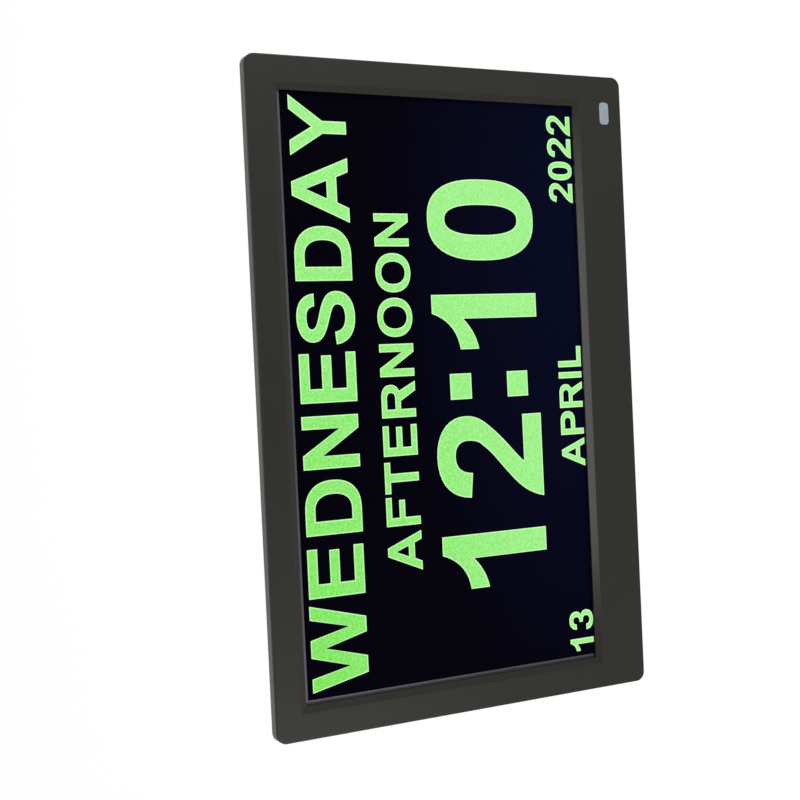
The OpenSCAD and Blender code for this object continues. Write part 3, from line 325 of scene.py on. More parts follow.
@dataclass(frozen=True)
class Bezel(Moulded):
    """The face's plastic, polished on the mitred slope round the screen."""

    polish: float = 0.2
    polish_edge: float = 0.0002
    slope_half: Point = (0.1153, 0.0674)
    slope_z: float = 0.0879

    def sheen(self, p: Paint, even: Wire) -> Wire:
        """The roughness, lower inside the slope's outer edge.

        Args:
            p: The material's tree.
            even: The roughness elsewhere.

        Returns:
            The roughness.
        """
        upright = p.mapped(UNIT, (-LEAN, 0.0, 0.0), (0.0, STAND_Y * MM, STAND_Z * MM))
        split = p.node("ShaderNodeSeparateXYZ", None, {0: upright}).outputs
        across = self.slope_half[0] - Wire(p, split["X"]).math("ABSOLUTE")
        along = self.slope_half[1] - (Wire(p, split["Z"]) - self.slope_z).math("ABSOLUTE")
        inside = (across / self.polish_edge).clamp() * (along / self.polish_edge).clamp()
        return even - inside * self.polish


class Lay(Enum):
    """The direction in which a metal part was worked."""

    ALONG_X = (40.0, 2600.0, 2600.0)
    ALONG_Z = (2600.0, 2600.0, 40.0)
    EVEN = (1500.0, 1500.0, 1500.0)


@dataclass(frozen=True)
class Metal:
    """Sheet, turned or plated metal with fine marks along its lay and a trace of tarnish."""

    colour: Colour
    roughness: float = 0.34
    lay: Lay = Lay.EVEN
    mark_depth: float = 0.000004
    cloud_per_m: float = 60.0
    tarnish: float = 0.78

    def dress(self, name: str) -> bpy.types.Material:
        """Makes the finish.

        Args:
            name: The material's name.

        Returns:
            The material.
        """
        p = Paint(name)
        marks = p.noise(1.0, 3.0, p.mapped(self.lay.value))
        cloud = p.noise(self.cloud_per_m, 4.0)
        dull = tuple(c * self.tarnish for c in self.colour)
        return p.finish(
            Base_Color=p.blend((cloud * 0.8 + marks * 0.3 - 0.1).clamp(), dull, self.colour),
            Metallic=1.0 - cloud * 0.08,
            Roughness=marks * 0.16 + cloud * 0.08 + (self.roughness - 0.12),
            Normal=p.bump(marks, self.mark_depth))


@dataclass(frozen=True)
class Rubber:
    """Soft rubber with a matt, slightly dusty skin."""

    colour: Colour = (0.018, 0.018, 0.019)
    roughness: float = 0.78
    specular: float = 0.35
    skin_per_m: float = 2600.0
    skin_depth: float = 0.00002
    dust_per_m: float = 180.0
    dust_from: float = 0.52

    def dress(self, name: str) -> bpy.types.Material:
        """Makes the finish.

        Args:
            name: The material's name.

        Returns:
            The material.
        """
        p = Paint(name)
        skin = p.noise(self.skin_per_m)
        dust = (p.noise(self.dust_per_m, 5.0, roughness=0.7) - self.dust_from).clamp() * 3.0
        dusty = tuple(c * 2.6 + 0.01 for c in self.colour)
        return p.finish(
            Base_Color=p.blend(dust.clamp(), self.colour, dusty),
            Roughness=skin * 0.12 + (self.roughness - 0.06),
            Specular_IOR_Level=self.specular,
            Normal=p.bump(skin, self.skin_depth))


@dataclass(frozen=True)
class Foam:
    """Closed-cell foam, pitted all over."""

    colour: Colour
    specular: float = 0.2
    cells_per_m: float = 2400.0
    cell_depth: float = 0.00009
    tone_per_m: float = 300.0

    def dress(self, name: str) -> bpy.types.Material:
        """Makes the finish.

        Args:
            name: The material's name.

        Returns:
            The material.
        """
        p = Paint(name)
        cells = p.wire("ShaderNodeTexVoronoi", {"feature": "F1"},
                       {"Vector": p.place, "Scale": self.cells_per_m}, "Distance")
        tone = p.noise(self.tone_per_m, 3.0)
        pale = tuple(c * 1.5 for c in self.colour)
        return p.finish(
            Base_Color=p.blend(cells * tone, self.colour, pale),
            Roughness=0.92 - cells * 0.1,
            Specular_IOR_Level=self.specular,
            Normal=p.bump(cells, self.cell_depth))


@dataclass(frozen=True)
class Film:
    """Plastic film or light guide with a soft sheen, a fine prism lay and faint clouding."""

    colour: Colour
    roughness: float = 0.3
    phase_per_m: float = 900.0
    line_share: float = 0.08
    line_depth: float = 0.000006
    cloud_per_m: float = 40.0

    def dress(self, name: str) -> bpy.types.Material:
        """Makes the finish.

        Args:
            name: The material's name.

        Returns:
            The material.
        """
        p = Paint(name)
        lines = p.wire("ShaderNodeTexWave", {"wave_type": "BANDS", "bands_direction": "X"},
                       {"Vector": p.place, "Scale": self.phase_per_m / BAND_PHASE}, "Fac")
        cloud = p.noise(self.cloud_per_m, 4.0)
        dark = tuple(c * 0.6 for c in self.colour)
        return p.finish(
            Base_Color=p.blend((lines * self.line_share + cloud * 0.2).clamp(), self.colour, dark),
            Roughness=cloud * 0.14 + (self.roughness - 0.07),
            Normal=p.bump(lines, self.line_depth))


@dataclass(frozen=True)
class CircuitBoard:
    """Green solder mask over copper tracks and plated holes."""

    mask: Colour = (0.012, 0.115, 0.045)
    track: Colour = (0.035, 0.21, 0.075)
    tin: Colour = (0.62, 0.6, 0.52)
    tracks_per_m: float = 420.0
    holes_per_m: float = 260.0
    hole_r: float = 0.12
    sheen_per_m: float = 900.0
    track_depth: float = 0.00003

    def dress(self, name: str) -> bpy.types.Material:
        """Makes the finish.

        Args:
            name: The material's name.

        Returns:
            The material.
        """
        p = Paint(name)
        turned = p.mapped(turn=(math.pi / 2 - LEAN, 0.0, 0.0))
        layout = {"offset": 0.37, "squash": 1.6, "squash_frequency": 3}
        tracks = p.wire("ShaderNodeTexBrick", layout, {
            "Vector": turned, "Scale": self.tracks_per_m, "Mortar Size": 0.055,
            "Mortar Smooth": 0.1, "Color1": (*ORIGIN, 1.0), "Color2": (*ORIGIN, 1.0),
            "Mortar": (*UNIT, 1.0)}, "Fac")
        holes = p.wire("ShaderNodeTexVoronoi", {"feature": "F1"}, {
            "Vector": turned, "Scale": self.holes_per_m, "Randomness": 0.8}, "Distance")
        plated = 1.0 - ((holes - self.hole_r) * 30.0).clamp()
        base = p.blend(tracks * 0.8, self.mask, self.track)
        return p.finish(
            Base_Color=p.blend(plated, base, self.tin),
            Metallic=plated * 0.9,
            Roughness=p.noise(self.sheen_per_m) * 0.2 + 0.22,
            Normal=p.bump(tracks + plated * 0.5, self.track_depth))


@dataclass(frozen=True)
class Ribbon:
    """A flat cable: amber film over parallel copper lines."""

    film: Colour = (0.42, 0.2, 0.05)
    copper: Colour = (0.62, 0.3, 0.12)
    pitch: float = 0.001
    sheen_per_m: float = 700.0
    line_depth: float = 0.00002

    def dress(self, name: str) -> bpy.types.Material:
        """Makes the finish.

        Args:
            name: The material's name.

        Returns:
            The material.
        """
        p = Paint(name)
        lines = p.wire("ShaderNodeTexWave", {"wave_type": "BANDS", "bands_direction": "X"},
                       {"Vector": p.mapped((math.tau / (BAND_PHASE * self.pitch),) * 3),
                        "Scale": 1.0, "Distortion": 0.0}, "Fac")
        return p.finish(
            Base_Color=p.blend(((lines - 0.4) * 6.0).clamp(), self.film, self.copper),
            Roughness=p.noise(self.sheen_per_m) * 0.15 + 0.25,
            Coat_Weight=lines * 0.2 + 0.3,
            Normal=p.bump(lines, self.line_depth))


@dataclass(frozen=True)
class Tinted:
    """The smoke-tinted window over the receiver, polished, a little uneven where it was moulded."""

    colour: Colour = (0.115, 0.138, 0.158)
    edge: Colour = (0.085, 0.102, 0.12)
    cloud_per_m: float = 220.0
    cloud_depth: float = 0.00002
    haze_per_m: float = 1800.0

    def dress(self, name: str) -> bpy.types.Material:
        """Makes the finish.

        Args:
            name: The material's name.

        Returns:
            The material.
        """
        p = Paint(name)
        cloud = p.noise(self.cloud_per_m)
        return p.finish(
            Base_Color=p.blend(cloud, self.edge, self.colour),
            Roughness=p.noise(self.haze_per_m) * 0.05 + 0.1,
            Coat_Weight=cloud * 0.2 + 0.4,
            Normal=p.bump(cloud, self.cloud_depth))


@dataclass(frozen=True)
class Screen:
    """The dark glass: anti-glare skin over black, with backlight that leaks at its lower edge."""

    black: Colour = (0.0006, 0.0005, 0.0017)
    leak: Colour = (0.0009, 0.0012, 0.0058)
    lamp: Triple = (0.055, 0.0, 0.02)
    squeeze: Triple = (0.45, 0.0, 1.0)
    reach: float = 0.085
    fall: float = 0.8
    glow: float = 0.55
    specular: float = 0.003
    skin_per_m: float = 5200.0
    skin_depth: float = 0.000003

    def dress(self, name: str) -> bpy.types.Material:
        """Makes the finish.

        Args:
            name: The material's name.

        Returns:
            The material.
        """
        p = Paint(name)
        near = (1.0 - p.away(self.lamp, self.squeeze) / self.reach).clamp() ** self.fall
        skin = p.noise(self.skin_per_m, 1.0)
        return p.finish(
            Base_Color=p.blend(near, self.black, self.leak),
            Emission_Color=p.blend(near, ORIGIN, self.leak),
            Emission_Strength=self.glow,
            Roughness=skin * 0.1 + 0.36,
            Specular_IOR_Level=self.specular,
            Normal=p.bump(skin, self.skin_depth))


@dataclass(frozen=True)
class Lit:
    """A lit part of the readout, greener near one corner of the screen and paler away from it."""

    green: Colour = (0.133, 0.635, 0.028)
    pale: Colour = (0.354, 0.789, 0.263)
    unlit: Colour = (0.02, 0.05, 0.02)
    corner: Triple = (-0.12, 0.0, 0.15)
    squeeze: Triple = (0.6, 0.0, 1.2)
    reach: float = 0.145
    margin: float = 0.15
    dots_per_m: float = 1300.0
    dots: float = 2.0
    sheen_per_m: float = 4000.0

    def dress(self, name: str) -> bpy.types.Material:
        """Makes the finish.

        Args:
            name: The material's name.

        Returns:
            The material.
        """
        p = Paint(name)
        grain = p.noise(self.dots_per_m) * self.dots - self.dots / 2
        along = (p.away(self.corner, self.squeeze) / self.reach).clamp()
        share = along * (1.0 - 2.0 * self.margin) + self.margin + grain
        return p.finish(
            Base_Color=(*self.unlit, 1.0),
            Emission_Color=p.blend(share, self.green, self.pale),
            Emission_Strength=1.0,
            Roughness=p.noise(self.sheen_per_m) * 0.1 + 0.4,
            Specular_IOR_Level=0.0)


@dataclass(frozen=True)
class Printed:
    """Pad-printed ink, slightly broken by the grain under it."""

    colour: Colour = (0.55, 0.55, 0.52)
    under: Colour = (0.1, 0.1, 0.095)
    breaks_per_m: float = 3800.0
    break_depth: float = 0.000006

    def dress(self, name: str) -> bpy.types.Material:
        """Makes the finish.

        Args:
            name: The material's name.

        Returns:
            The material.
        """
        p = Paint(name)
        broken = ((p.noise(self.breaks_per_m) - 0.36) * 9.0).clamp()
        return p.finish(
            Base_Color=p.blend(broken, self.under, self.colour),
            Roughness=0.62 - broken * 0.1,
            Normal=p.bump(broken, self.break_depth))


FINISHES: dict[str, Any] = {
    "bezel_plastic": Bezel((0.0078, 0.0074, 0.0056), roughness=0.36, specular=0.14),
    "cover_plastic": Moulded((0.026, 0.026, 0.0245), roughness=0.46, grain_depth=0.000016),
    "tinted_window": Tinted(),
    "foam": Foam((0.012, 0.012, 0.013)),
    "frame_steel": Metal((0.055, 0.051, 0.060), roughness=0.5, lay=Lay.ALONG_X),
    "panel_glass": Screen(),
    "diffuser_film": Film((0.82, 0.84, 0.86), roughness=0.5),
    "guide_acrylic": Film((0.72, 0.80, 0.86), roughness=0.15, phase_per_m=400.0),
    "lamp_strip": Moulded((0.86, 0.82, 0.58), roughness=0.35),
    "reflector_film": Film((0.88, 0.88, 0.86), roughness=0.35, line_share=0.02),
    "tray_steel": Metal((0.56, 0.56, 0.57), lay=Lay.ALONG_Z),
    "circuit_board": CircuitBoard(),
    "ribbon_film": Ribbon(),
    "chip_resin": Moulded((0.02, 0.02, 0.022), roughness=0.6, grain_per_m=6000.0),
    "plug_nylon": Moulded((0.72, 0.69, 0.58), roughness=0.45),
    "holder_plastic": Moulded((0.03, 0.03, 0.032), roughness=0.5),
    "cell_steel": Metal((0.7, 0.69, 0.67), roughness=0.26),
    "jack_plastic": Moulded((0.014, 0.014, 0.015), roughness=0.38),
    "port_steel": Metal((0.66, 0.66, 0.67), roughness=0.28, lay=Lay.ALONG_X),
    "switch_steel": Metal((0.62, 0.62, 0.62), roughness=0.36),
    "receiver_resin": Moulded((0.012, 0.012, 0.014), roughness=0.22),
    "wire_sleeve": Moulded((0.33, 0.045, 0.03), roughness=0.4),
    "speaker_basket": Moulded((0.03, 0.032, 0.035), roughness=0.5),
    "speaker_paper": Foam((0.035, 0.035, 0.038)),
    "magnet_steel": Metal((0.42, 0.42, 0.44), roughness=0.45),
    "zinc_screw": Metal((0.62, 0.62, 0.6), roughness=0.32),
    "black_screw": Metal((0.07, 0.07, 0.075), roughness=0.38),
    "foot_rubber": Rubber(),
    "pin_steel": Metal((0.68, 0.68, 0.7), roughness=0.22, lay=Lay.ALONG_X),
    "washer_steel": Metal((0.56, 0.56, 0.58), roughness=0.36),
    "leg_plastic": Moulded((0.024, 0.024, 0.0225), roughness=0.46, grain_depth=0.000016),
    "button_plastic": Moulded((0.03, 0.0295, 0.028), roughness=0.4, grain_per_m=5200.0),
    "plunger_plastic": Moulded((0.025, 0.025, 0.03), roughness=0.4),
}


# ---- Meshes ----

def link(name: str, data: Any) -> bpy.types.Object:
    """Puts new data in the scene.

    Args:
        name: The object's name.
        data: A mesh, curve, lamp or camera.

    Returns:
        The object.
    """
    made = bpy.data.objects.new(name, data)
    bpy.context.scene.collection.objects.link(made)
    return made


def plain_mesh(source: bpy.types.Object, name: str) -> bpy.types.Mesh:
    """Turns an object and its modifiers into a plain mesh, and removes the object.

    Args:
        source: The curve or mesh object.
        name: The new mesh's name.

    Returns:
        The mesh, with its doubles merged and its faces outwards.
    """
    bpy.context.view_layer.update()
    seen = source.evaluated_get(bpy.context.evaluated_depsgraph_get())
    mesh = bpy.data.meshes.new_from_object(seen)
    mesh.name = name
    bpy.data.objects.remove(source)
    shape = bmesh.new()
    shape.from_mesh(mesh)
    bmesh.ops.remove_doubles(shape, verts=shape.verts, dist=MERGE)
    bmesh.ops.recalc_face_normals(shape, faces=shape.faces)
    shape.to_mesh(mesh)
    shape.free()
    return mesh


def piece(name: str, mesh: bpy.types.Mesh, place: Matrix, body: str) -> bpy.types.Object:
    """Makes a finished piece of a mesh.

    Args:
        name: The piece's name.
        mesh: The mesh, in mm.
        place: Takes the mesh to the row frame.
        body: The body that it rides on.

    Returns:
        The piece.
    """
    mesh.transform(place)
    made = link(name, mesh)
    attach(made, body)
    log.info("%s: %d faces on %s", name, len(mesh.polygons), body)
    return made


# ---- Letters ----

class Pen:
    """Draws one closed outline, in units of a capital's height."""

    def __init__(self, x: float, y: float) -> None:
        """Starts the outline at a point."""
        self.points: Loop = [(x, y)]

    def line(self, *points: Point) -> "Pen":
        """Straight lines through the points."""
        self.points.extend(points)
        return self

    def curve(self, first: Point, second: Point, end: Point, steps: int = 9) -> "Pen":
        """A cubic curve from the last point.

        Args:
            first: The first handle.
            second: The second handle.
            end: The curve's end.
            steps: Its number of stretches.

        Returns:
            The pen.
        """
        start = self.points[-1]
        for i in range(1, steps + 1):
            t = i / steps
            a, b, c, d = (1 - t) ** 3, 3 * t * (1 - t) ** 2, 3 * t * t * (1 - t), t ** 3
            self.points.append(tuple(
                a * start[k] + b * first[k] + c * second[k] + d * end[k] for k in (0, 1)))
        return self

    def bowl(self, centre: Point, radii: Point, start: float, end: float,
             power: float = 2.3, steps: int = 28) -> "Pen":
        """Part of a superellipse.

        Args:
            centre: Its centre.
            radii: Its radii.
            start: The first angle in degrees.
            end: The last angle in degrees.
            power: How square it is; 2 is round.
            steps: Its number of stretches.

        Returns:
            The pen.
        """
        for i in range(steps + 1):
            a = math.radians(start + (end - start) * i / steps)
            self.points.append(tuple(
                centre[k] + radii[k] * math.copysign(abs(v) ** (2 / power), v)
                for k, v in enumerate((math.cos(a), math.sin(a)))))
        return self


def oval(centre: Point, radii: Point, power: float) -> Loop:
    """A closed superellipse."""
    return Pen(0, 0).bowl(centre, radii, 0, 360, power, 56).points[1:-1]


def smooth(points: Loop, steps: int = 8) -> Loop:
    """A smooth line through the points.

    Args:
        points: The points that it passes.
        steps: Stretches between neighbouring points.

    Returns:
        The points of the line.
    """
    ends = [points[0], *points, points[-1]]
    line: Loop = []
    for i in range(1, len(ends) - 2):
        p0, p1, p2, p3 = ends[i - 1:i + 3]
        for j in range(steps):
            t = j / steps
            line.append(tuple(0.5 * (
                2 * p1[k] + (p2[k] - p0[k]) * t
                + (2 * p0[k] - 5 * p1[k] + 4 * p2[k] - p3[k]) * t * t
                + (3 * p1[k] - p0[k] - 3 * p2[k] + p3[k]) * t ** 3) for k in (0, 1)))
    return line + [points[-1]]


def stroke(points: Loop, half: Point) -> Loop:
    """A pen stroke along a line.

    Args:
        points: The line.
        half: Half of the stroke's width where it stands upright and where it lies flat.

    Returns:
        The stroke's closed outline.
    """
    left: Loop = []
    right: Loop = []
    for i, here in enumerate(points):
        before, after = points[max(i - 1, 0)], points[min(i + 1, len(points) - 1)]
        along = Vector((after[0] - before[0], after[1] - before[1])).normalized()
        off = (-along.y * half[0], along.x * half[1])
        left.append((here[0] + off[0], here[1] + off[1]))
        right.append((here[0] - off[0], here[1] - off[1]))
    return left + right[::-1]


def signed_area(loop: Loop) -> float:
    """Twice the area inside a loop, positive where it runs anticlockwise."""
    return sum(a[0] * b[1] - b[0] * a[1] for a, b in zip(loop, loop[1:] + loop[:1]))


def grown(loop: Loop, by: float) -> Loop:
    """Moves a loop's sides outwards, to its right where it runs anticlockwise.

    Args:
        loop: The loop.
        by: The distance.

    Returns:
        The moved loop, with its corners mitred.
    """
    moved: Loop = []
    for i, here in enumerate(loop):
        normals = []
        for a, b in ((loop[i - 1], here), (here, loop[(i + 1) % len(loop)])):
            side = Vector((b[1] - a[1], a[0] - b[0]))
            if side.length > MERGE / 10:
                normals.append(side.normalized())
        mean = sum(normals, Vector((0, 0))) / len(normals)
        scale = by / max(mean.length_squared, MITRE)
        moved.append((here[0] + mean.x * scale, here[1] + mean.y * scale))
    return moved


class Letters:
    """Bold capitals and figures with square ends, as lists of outlines."""

    def outline(self, letter: str) -> list[Loop]:
        """The outlines of one letter, outer ones first."""
        return getattr(self, {":": "colon"}.get(letter, f"letter_{letter.lower()}"))()

    def letter_w(self) -> list[Loop]:
        """W."""
        return [Pen(0, 1).line((.225, 1), (.363, .31), (.56, 1), (.843, 1), (1, .31), (1.17, 1),
                               (1.395, 1), (1.13, 0), (.879, 0), (.69, .745), (.487, 0),
                               (.214, 0)).points]

    def letter_e(self) -> list[Loop]:
        """E."""
        return [Pen(0, 0).line((.807, 0), (.807, .176), (.225, .176), (.225, .435), (.76, .435),
                               (.76, .61), (.225, .61), (.225, .825), (.792, .825), (.792, 1),
                               (0, 1)).points]

    def letter_d(self) -> list[Loop]:
        """D.

        Returns:
            Its outline and the hole's.
        """
        outer = Pen(0, 0).bowl((.40, .5), (.479, .5), -90, 90).line((0, 1))
        inner = Pen(.225, .175).bowl((.40, .5), (.254, .325), -90, 90).line((.225, .825))
        return [outer.points, inner.points]

    def letter_n(self) -> list[Loop]:
        """N."""
        return [Pen(0, 0).line((0, 1), (.225, 1), (.643, .335), (.643, 1), (.854, 1), (.854, 0),
                               (.635, 0), (.207, .655), (.207, 0)).points]

    def letter_s(self) -> list[Loop]:
        """S."""
        return [Pen(.825, .695)
                .curve((.81, .90), (.67, 1.012), (.443, 1.012))
                .curve((.20, 1.012), (.04, .90), (.04, .735))
                .curve((.04, .60), (.13, .52), (.40, .44))
                .curve((.58, .385), (.645, .36), (.645, .285))
                .curve((.645, .20), (.57, .153), (.443, .153))
                .curve((.30, .153), (.215, .215), (.205, .345)).line((0, .325))
                .curve((.02, .11), (.17, -.022), (.443, -.022))
                .curve((.70, -.022), (.86, .10), (.86, .30))
                .curve((.86, .46), (.76, .54), (.52, .605))
                .curve((.33, .655), (.25, .68), (.25, .75))
                .curve((.25, .81), (.32, .838), (.443, .838))
                .curve((.55, .838), (.61, .79), (.62, .695)).points]

    def letter_a(self) -> list[Loop]:
        """A."""
        return [Pen(0, 0).line((.425, 1), (.647, 1), (1.046, 0), (.817, 0), (.734, .21),
                               (.327, .21), (.236, 0)).points,
                Pen(.385, .389).line((.534, .757), (.672, .389)).points]

    def letter_y(self) -> list[Loop]:
        """Y."""
        return [Pen(0, 1).line((.24, 1), (.47, .615), (.737, 1), (.966, 1), (.567, .42),
                               (.567, 0), (.363, 0), (.363, .42)).points]

    def letter_f(self) -> list[Loop]:
        """F."""
        return [Pen(0, 0).line((0, 1), (.752, 1), (.752, .83), (.218, .83), (.218, .614),
                               (.677, .614), (.677, .443), (.218, .443), (.218, 0)).points]

    def letter_t(self) -> list[Loop]:
        """T."""
        return [Pen(.297, 0).line((.297, .83), (0, .83), (0, 1), (.82, 1), (.82, .83),
                                  (.523, .83), (.523, 0)).points]

    def letter_r(self) -> list[Loop]:
        """R.

        Returns:
            Its outline and the hole's.
        """
        outer = Pen(0, 0).line((0, 1)).bowl((.52, .725), (.34, .275), 90, -62)
        outer.line((.94, 0), (.69, 0), (.43, .435), (.218, .435), (.218, 0))
        inner = Pen(.218, .84).bowl((.50, .7185), (.15, .1215), 90, -90).line((.218, .597))
        return [outer.points, inner.points]

    def letter_p(self) -> list[Loop]:
        """P.

        Returns:
            Its outline and the hole's.
        """
        outer = Pen(0, 0).line((0, 1)).bowl((.50, .6865), (.36, .3135), 90, -90)
        outer.line((.218, .373), (.218, 0))
        inner = Pen(.218, .824).bowl((.47, .692), (.15, .132), 90, -90).line((.218, .56))
        return [outer.points, inner.points]

    def letter_o(self) -> list[Loop]:
        """O."""
        return [oval((.51, .5), (.51, .51), 2.2), oval((.51, .5), (.292, .345), 2.2)]

    def letter_i(self) -> list[Loop]:
        """I."""
        return [Pen(0, 0).line((.226, 0), (.226, 1), (0, 1)).points]

    def letter_l(self) -> list[Loop]:
        """L."""
        return [Pen(0, 0).line((.754, 0), (.754, .19), (.226, .19), (.226, 1), (0, 1)).points]

    def letter_0(self) -> list[Loop]:
        """0."""
        return [oval((.3315, .5), (.3315, .505), 2.5), oval((.3315, .5), (.1235, .345), 2.5)]

    def letter_1(self) -> list[Loop]:
        """1."""
        return [Pen(.25, 0).line((.447, 0), (.447, 1), (.295, 1))
                .curve((.25, .86), (.15, .765), (0, .745)).line((0, .571))
                .curve((.10, .59), (.18, .64), (.25, .71)).points]

    def letter_2(self) -> list[Loop]:
        """2."""
        return [Pen(0, 0).line((.695, 0), (.695, .184), (.304, .184))
                .curve((.36, .26), (.50, .36), (.602, .493))
                .curve((.68, .58), (.707, .65), (.707, .736))
                .curve((.707, .90), (.58, 1.01), (.382, 1.01))
                .curve((.17, 1.01), (.05, .90), (.037, .705)).line((.239, .684))
                .curve((.245, .79), (.29, .84), (.382, .84))
                .curve((.465, .84), (.505, .79), (.505, .719))
                .curve((.505, .65), (.49, .61), (.461, .58))
                .curve((.40, .49), (.30, .42), (.216, .337))
                .curve((.13, .26), (.03, .16), (0, 0)).points[:-1]]

    def letter_3(self) -> list[Loop]:
        """3."""
        return [Pen(0, .285).line((.205, .285))
                .curve((.21, .19), (.27, .145), (.36, .145))
                .curve((.46, .145), (.515, .20), (.515, .30))
                .curve((.515, .395), (.45, .435), (.30, .435)).line((.30, .575))
                .curve((.43, .575), (.49, .625), (.49, .715))
                .curve((.49, .80), (.44, .845), (.36, .845))
                .curve((.275, .845), (.235, .80), (.23, .705)).line((.035, .705))
                .curve((.04, .89), (.17, 1.01), (.365, 1.01))
                .curve((.57, 1.01), (.69, .90), (.69, .73))
                .curve((.69, .63), (.65, .56), (.56, .52))
                .curve((.67, .48), (.725, .40), (.725, .285))
                .curve((.725, .10), (.58, -.012), (.36, -.012))
                .curve((.13, -.012), (0, .10), (0, .285)).points[:-1]]

    def colon(self) -> list[Loop]:
        """The two points between hours and minutes."""
        return [Pen(0, low).line((.21, low), (.21, low + .2), (0, low + .2)).points
                for low in (.116, .66)]


def flat_solid(name: str, loops: list[Loop], thick: float) -> bpy.types.Mesh:
    """A flat solid inside some outlines, drawn in x and z.

    Args:
        name: The mesh's name.
        loops: Outlines and their holes.
        thick: The solid's thickness; its front is at y = 0 and its back behind that.

    Returns:
        The mesh, in mm.
    """
    curve = bpy.data.curves.new(name, "CURVE")
    curve.dimensions = "2D"
    curve.fill_mode = "BOTH"
    curve.extrude = thick / 2
    for loop in loops:
        spline = curve.splines.new("POLY")
        spline.points.add(len(loop) - 1)
        spline.points.foreach_set("co", [v for x, y in loop for v in (x, y, 0.0, 1.0)])
        spline.use_cyclic_u = True
    mesh = plain_mesh(link(name, curve), name)
    mesh.transform(Matrix.Translation((0, thick / 2, 0)) @ Matrix.Rotation(math.pi / 2, 4, "X"))
    return mesh


# ---- The readout ----

@dataclass(frozen=True)
class Line:
    """A line of the readout, in mm.

    It holds the words, where each letter starts, the first letter's foot, the letters' height
    and how far the line falls to its end.
    """

    name: str
    words: str
    starts: tuple[float, ...]
    foot: float
    high: float
    fall: float = 0.0

    def foot_at(self, start: float) -> float:
        """The foot of the letter that starts at a place."""
        first, last = self.starts[0], self.starts[-1]
        return self.foot - self.fall * (start - first) / (last - first)


@dataclass
class Readout:
    """The lit letters, thin solids on the front of the glass, each with a paler rim behind it."""

    panel_y: float = 3.0
    thick: float = 0.06
    rim_w: float = 0.42
    rim_t: float = 0.03
    rim_green: Colour = (0.44, 0.85, 0.33)
    rim_pale: Colour = (0.58, 0.92, 0.46)
    lines: tuple[Line, ...] = (
        Line("day", "WEDNESDAY",
             (-108.93, -74.21, -51.05, -26.56, -2.07, 19.4, 43.06, 64.61, 89.11),
             125.8, 23.08, 1.2),
        Line("period", "AFTERNOON",
             (-68.17, -50.55, -38.14, -23.88, -9.28, 6.32, 21.42, 38.36, 55.81),
             100.7, 14.61, 0.4),
        Line("time", "12:10", (-78.15, -44.26, -3.75, 15.71, 50.35), 43.8, 47.83),
        Line("date", "13", (-109.27, -100.88), 22.85, 11.35),
        Line("month", "APRIL", (-33.86, -20.69, -9.7, 2.29, 6.82), 23.14, 11.13),
        Line("year", "2022", (73.42, 82.65, 91.54, 100.6), 23.64, 11.3),
    )

    def loops(self, line: Line, grow: float) -> list[Loop]:
        """The outlines of a line's letters in mm.

        Args:
            line: The line.
            grow: How far its sides are moved outwards.

        Returns:
            All outlines, outer ones anticlockwise and holes clockwise.
        """
        letters = Letters()
        placed: list[Loop] = []
        for letter, start in zip(line.words, line.starts):
            for i, loop in enumerate(letters.outline(letter)):
                foot = line.foot_at(start)
                spot = [(start + x * line.high, foot + y * line.high) for x, y in loop]
                hole = i > 0 and letter != ":"
                if (signed_area(spot) > 0) == hole:
                    spot.reverse()
                placed.append(grown(spot, grow))
        return placed

    def build(self) -> None:
        """Makes and dresses every line."""
        fill = Lit().dress("readout_green")
        rim = Lit(self.rim_green, self.rim_pale).dress("readout_rim")
        for line in self.lines:
            parts = (("", -self.rim_w, self.thick, fill),
                     ("_rim", 0.0, self.rim_t, rim))
            for ending, grow, thick, look in parts:
                name = f"readout_{line.name}{ending}"
                mesh = flat_solid(name, self.loops(line, grow), thick)
                mesh.materials.append(look)
                front = Matrix.Translation((0, self.panel_y - thick, 0))
                piece(name, mesh, UPRIGHT @ front, "case")


# ---- Key symbols ----

class Symbol(Enum):
    """What is printed on each key."""

    POWER = "power"
    MENU = "menu"
    UP = "up"
    DOWN = "down"
    LEFT = "left"
    RIGHT = "right"
    EXIT = "exit"


